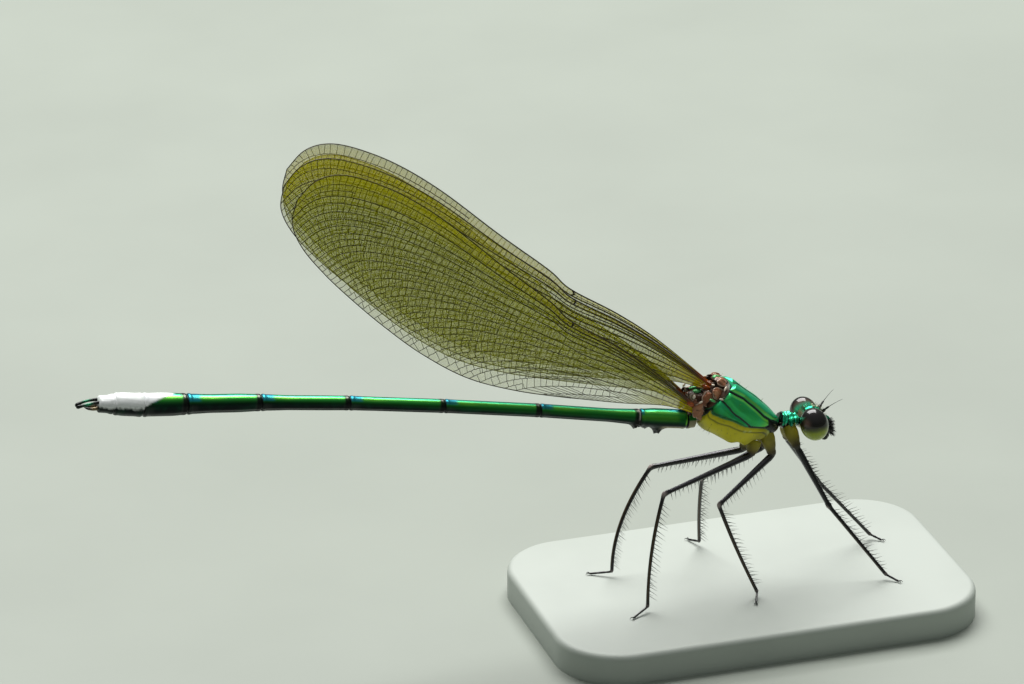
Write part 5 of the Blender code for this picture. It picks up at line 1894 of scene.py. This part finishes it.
def build_bristles():
    """Rows of bristles on the legs, and finer hair on face and body."""
    s = sizes()
    hair = hair_shape()
    tree = hair_tree()
    dark = bristle_keratin("black_bristle", "#0A0908")
    fine = bristle_keratin("pale_body_hair", "#6E6A4A")
    rng = random.Random(5)
    for name in LEG_JOINTS:
        roots = leg_bristle_roots(name, rng, s.bristle_length / MM, s.bristle_pitch / MM)
        mesh = hair_mesh("bristles_" + name, roots, hair, tree, s.bristle_radius, 3, dark)
        add_piece("bristles_" + name, mesh, dark, "black_gloss")
    mesh = hair_mesh("mouth_bristles", face_hair_roots(rng), hair, tree, FACE_HAIR_RADIUS * MM, 4, dark)
    add_piece("mouth_bristles", mesh, dark, "black_gloss")
    mesh = hair_mesh("body_hair", body_hair_roots(rng), hair, tree, BODY_HAIR_RADIUS * MM, 5, fine)
    add_piece("body_hair", mesh, fine, "root_brown")
    bpy.data.objects.remove(hair, do_unlink=True)


# Operators and panel


class DAMSELFLY_OT_stage(bpy.types.Operator):
    """Add the floor, the soft light, the surroundings and the camera"""

    bl_idname = "damselfly.stage"
    bl_label = "Stage"

    def execute(self, context):
        add_floor()
        add_world()
        add_softbox()
        add_camera()
        context.scene.view_settings.view_transform = "Standard"
        return {"FINISHED"}


class DAMSELFLY_OT_base(bpy.types.Operator):
    """Build the display base under the feet"""

    bl_idname = "damselfly.base"
    bl_label = "Display Base"

    def execute(self, context):
        build_base()
        return {"FINISHED"}


class DAMSELFLY_OT_tail(bpy.types.Operator):
    """Build the skin of the abdomen and the claspers at its end"""

    bl_idname = "damselfly.tail"
    bl_label = "Abdomen and Claspers"

    def execute(self, context):
        build_abdomen()
        build_tail_ends()
        return {"FINISHED"}


class DAMSELFLY_OT_thorax(bpy.types.Operator):
    """Build the thorax, the hinge plates of the wings and the neck shield"""

    bl_idname = "damselfly.thorax"
    bl_label = "Thorax and Neck"

    def execute(self, context):
        build_thorax()
        build_wing_roots()
        build_prothorax()
        return {"FINISHED"}


class DAMSELFLY_OT_head(bpy.types.Operator):
    """Build the head with its eyes, ocelli, feelers and face"""

    bl_idname = "damselfly.head"
    bl_label = "Head"

    def execute(self, context):
        build_head()
        return {"FINISHED"}


class DAMSELFLY_OT_legs(bpy.types.Operator):
    """Build the six legs and their claws"""

    bl_idname = "damselfly.legs"
    bl_label = "Legs"

    def execute(self, context):
        build_legs()
        return {"FINISHED"}


class DAMSELFLY_OT_wings(bpy.types.Operator):
    """Build the four wings with their nets of veins"""

    bl_idname = "damselfly.wings"
    bl_label = "Wings"

    def execute(self, context):
        build_wings()
        return {"FINISHED"}


class DAMSELFLY_OT_bristles(bpy.types.Operator):
    """Build the bristles of the legs and the hair of face and body"""

    bl_idname = "damselfly.bristles"
    bl_label = "Bristles and Hair"

    def execute(self, context):
        build_bristles()
        return {"FINISHED"}


OPERATORS = (
    DAMSELFLY_OT_stage, DAMSELFLY_OT_base, DAMSELFLY_OT_tail, DAMSELFLY_OT_thorax, DAMSELFLY_OT_head,
    DAMSELFLY_OT_legs, DAMSELFLY_OT_wings, DAMSELFLY_OT_bristles,
)


class DAMSELFLY_PT_panel(bpy.types.Panel):
    """Lists the pieces of the model in the sidebar"""

    bl_idname = "DAMSELFLY_PT_panel"
    bl_label = "Damselfly"
    bl_space_type = "VIEW_3D"
    bl_region_type = "UI"
    bl_category = "Damselfly"

    def draw(self, context):
        layout = self.layout
        for operator in OPERATORS:
            layout.operator(operator.bl_idname)
        for group in (context.scene.damselfly_sizes, context.scene.damselfly_colours):
            box = layout.box()
            for key in group.__annotations__:
                box.prop(group, key)


CLASSES = (DamselflySizes, DamselflyColours, *OPERATORS, DAMSELFLY_PT_panel)


def register():
    for item in CLASSES:
        bpy.utils.register_class(item)
    bpy.types.Scene.damselfly_sizes = bpy.props.PointerProperty(type=DamselflySizes)
    bpy.types.Scene.damselfly_colours = bpy.props.PointerProperty(type=DamselflyColours)


def unregister():
    del bpy.types.Scene.damselfly_colours
    del bpy.types.Scene.damselfly_sizes
    for item in reversed(CLASSES):
        bpy.utils.unregister_class(item)


def main():
    register()
    bpy.ops.damselfly.stage()
    bpy.ops.damselfly.base()
    bpy.ops.damselfly.tail()
    bpy.ops.damselfly.thorax()
    bpy.ops.damselfly.head()
    bpy.ops.damselfly.legs()
    bpy.ops.damselfly.wings()
    bpy.ops.damselfly.bristles()


if __name__ == "__main__":
    main()
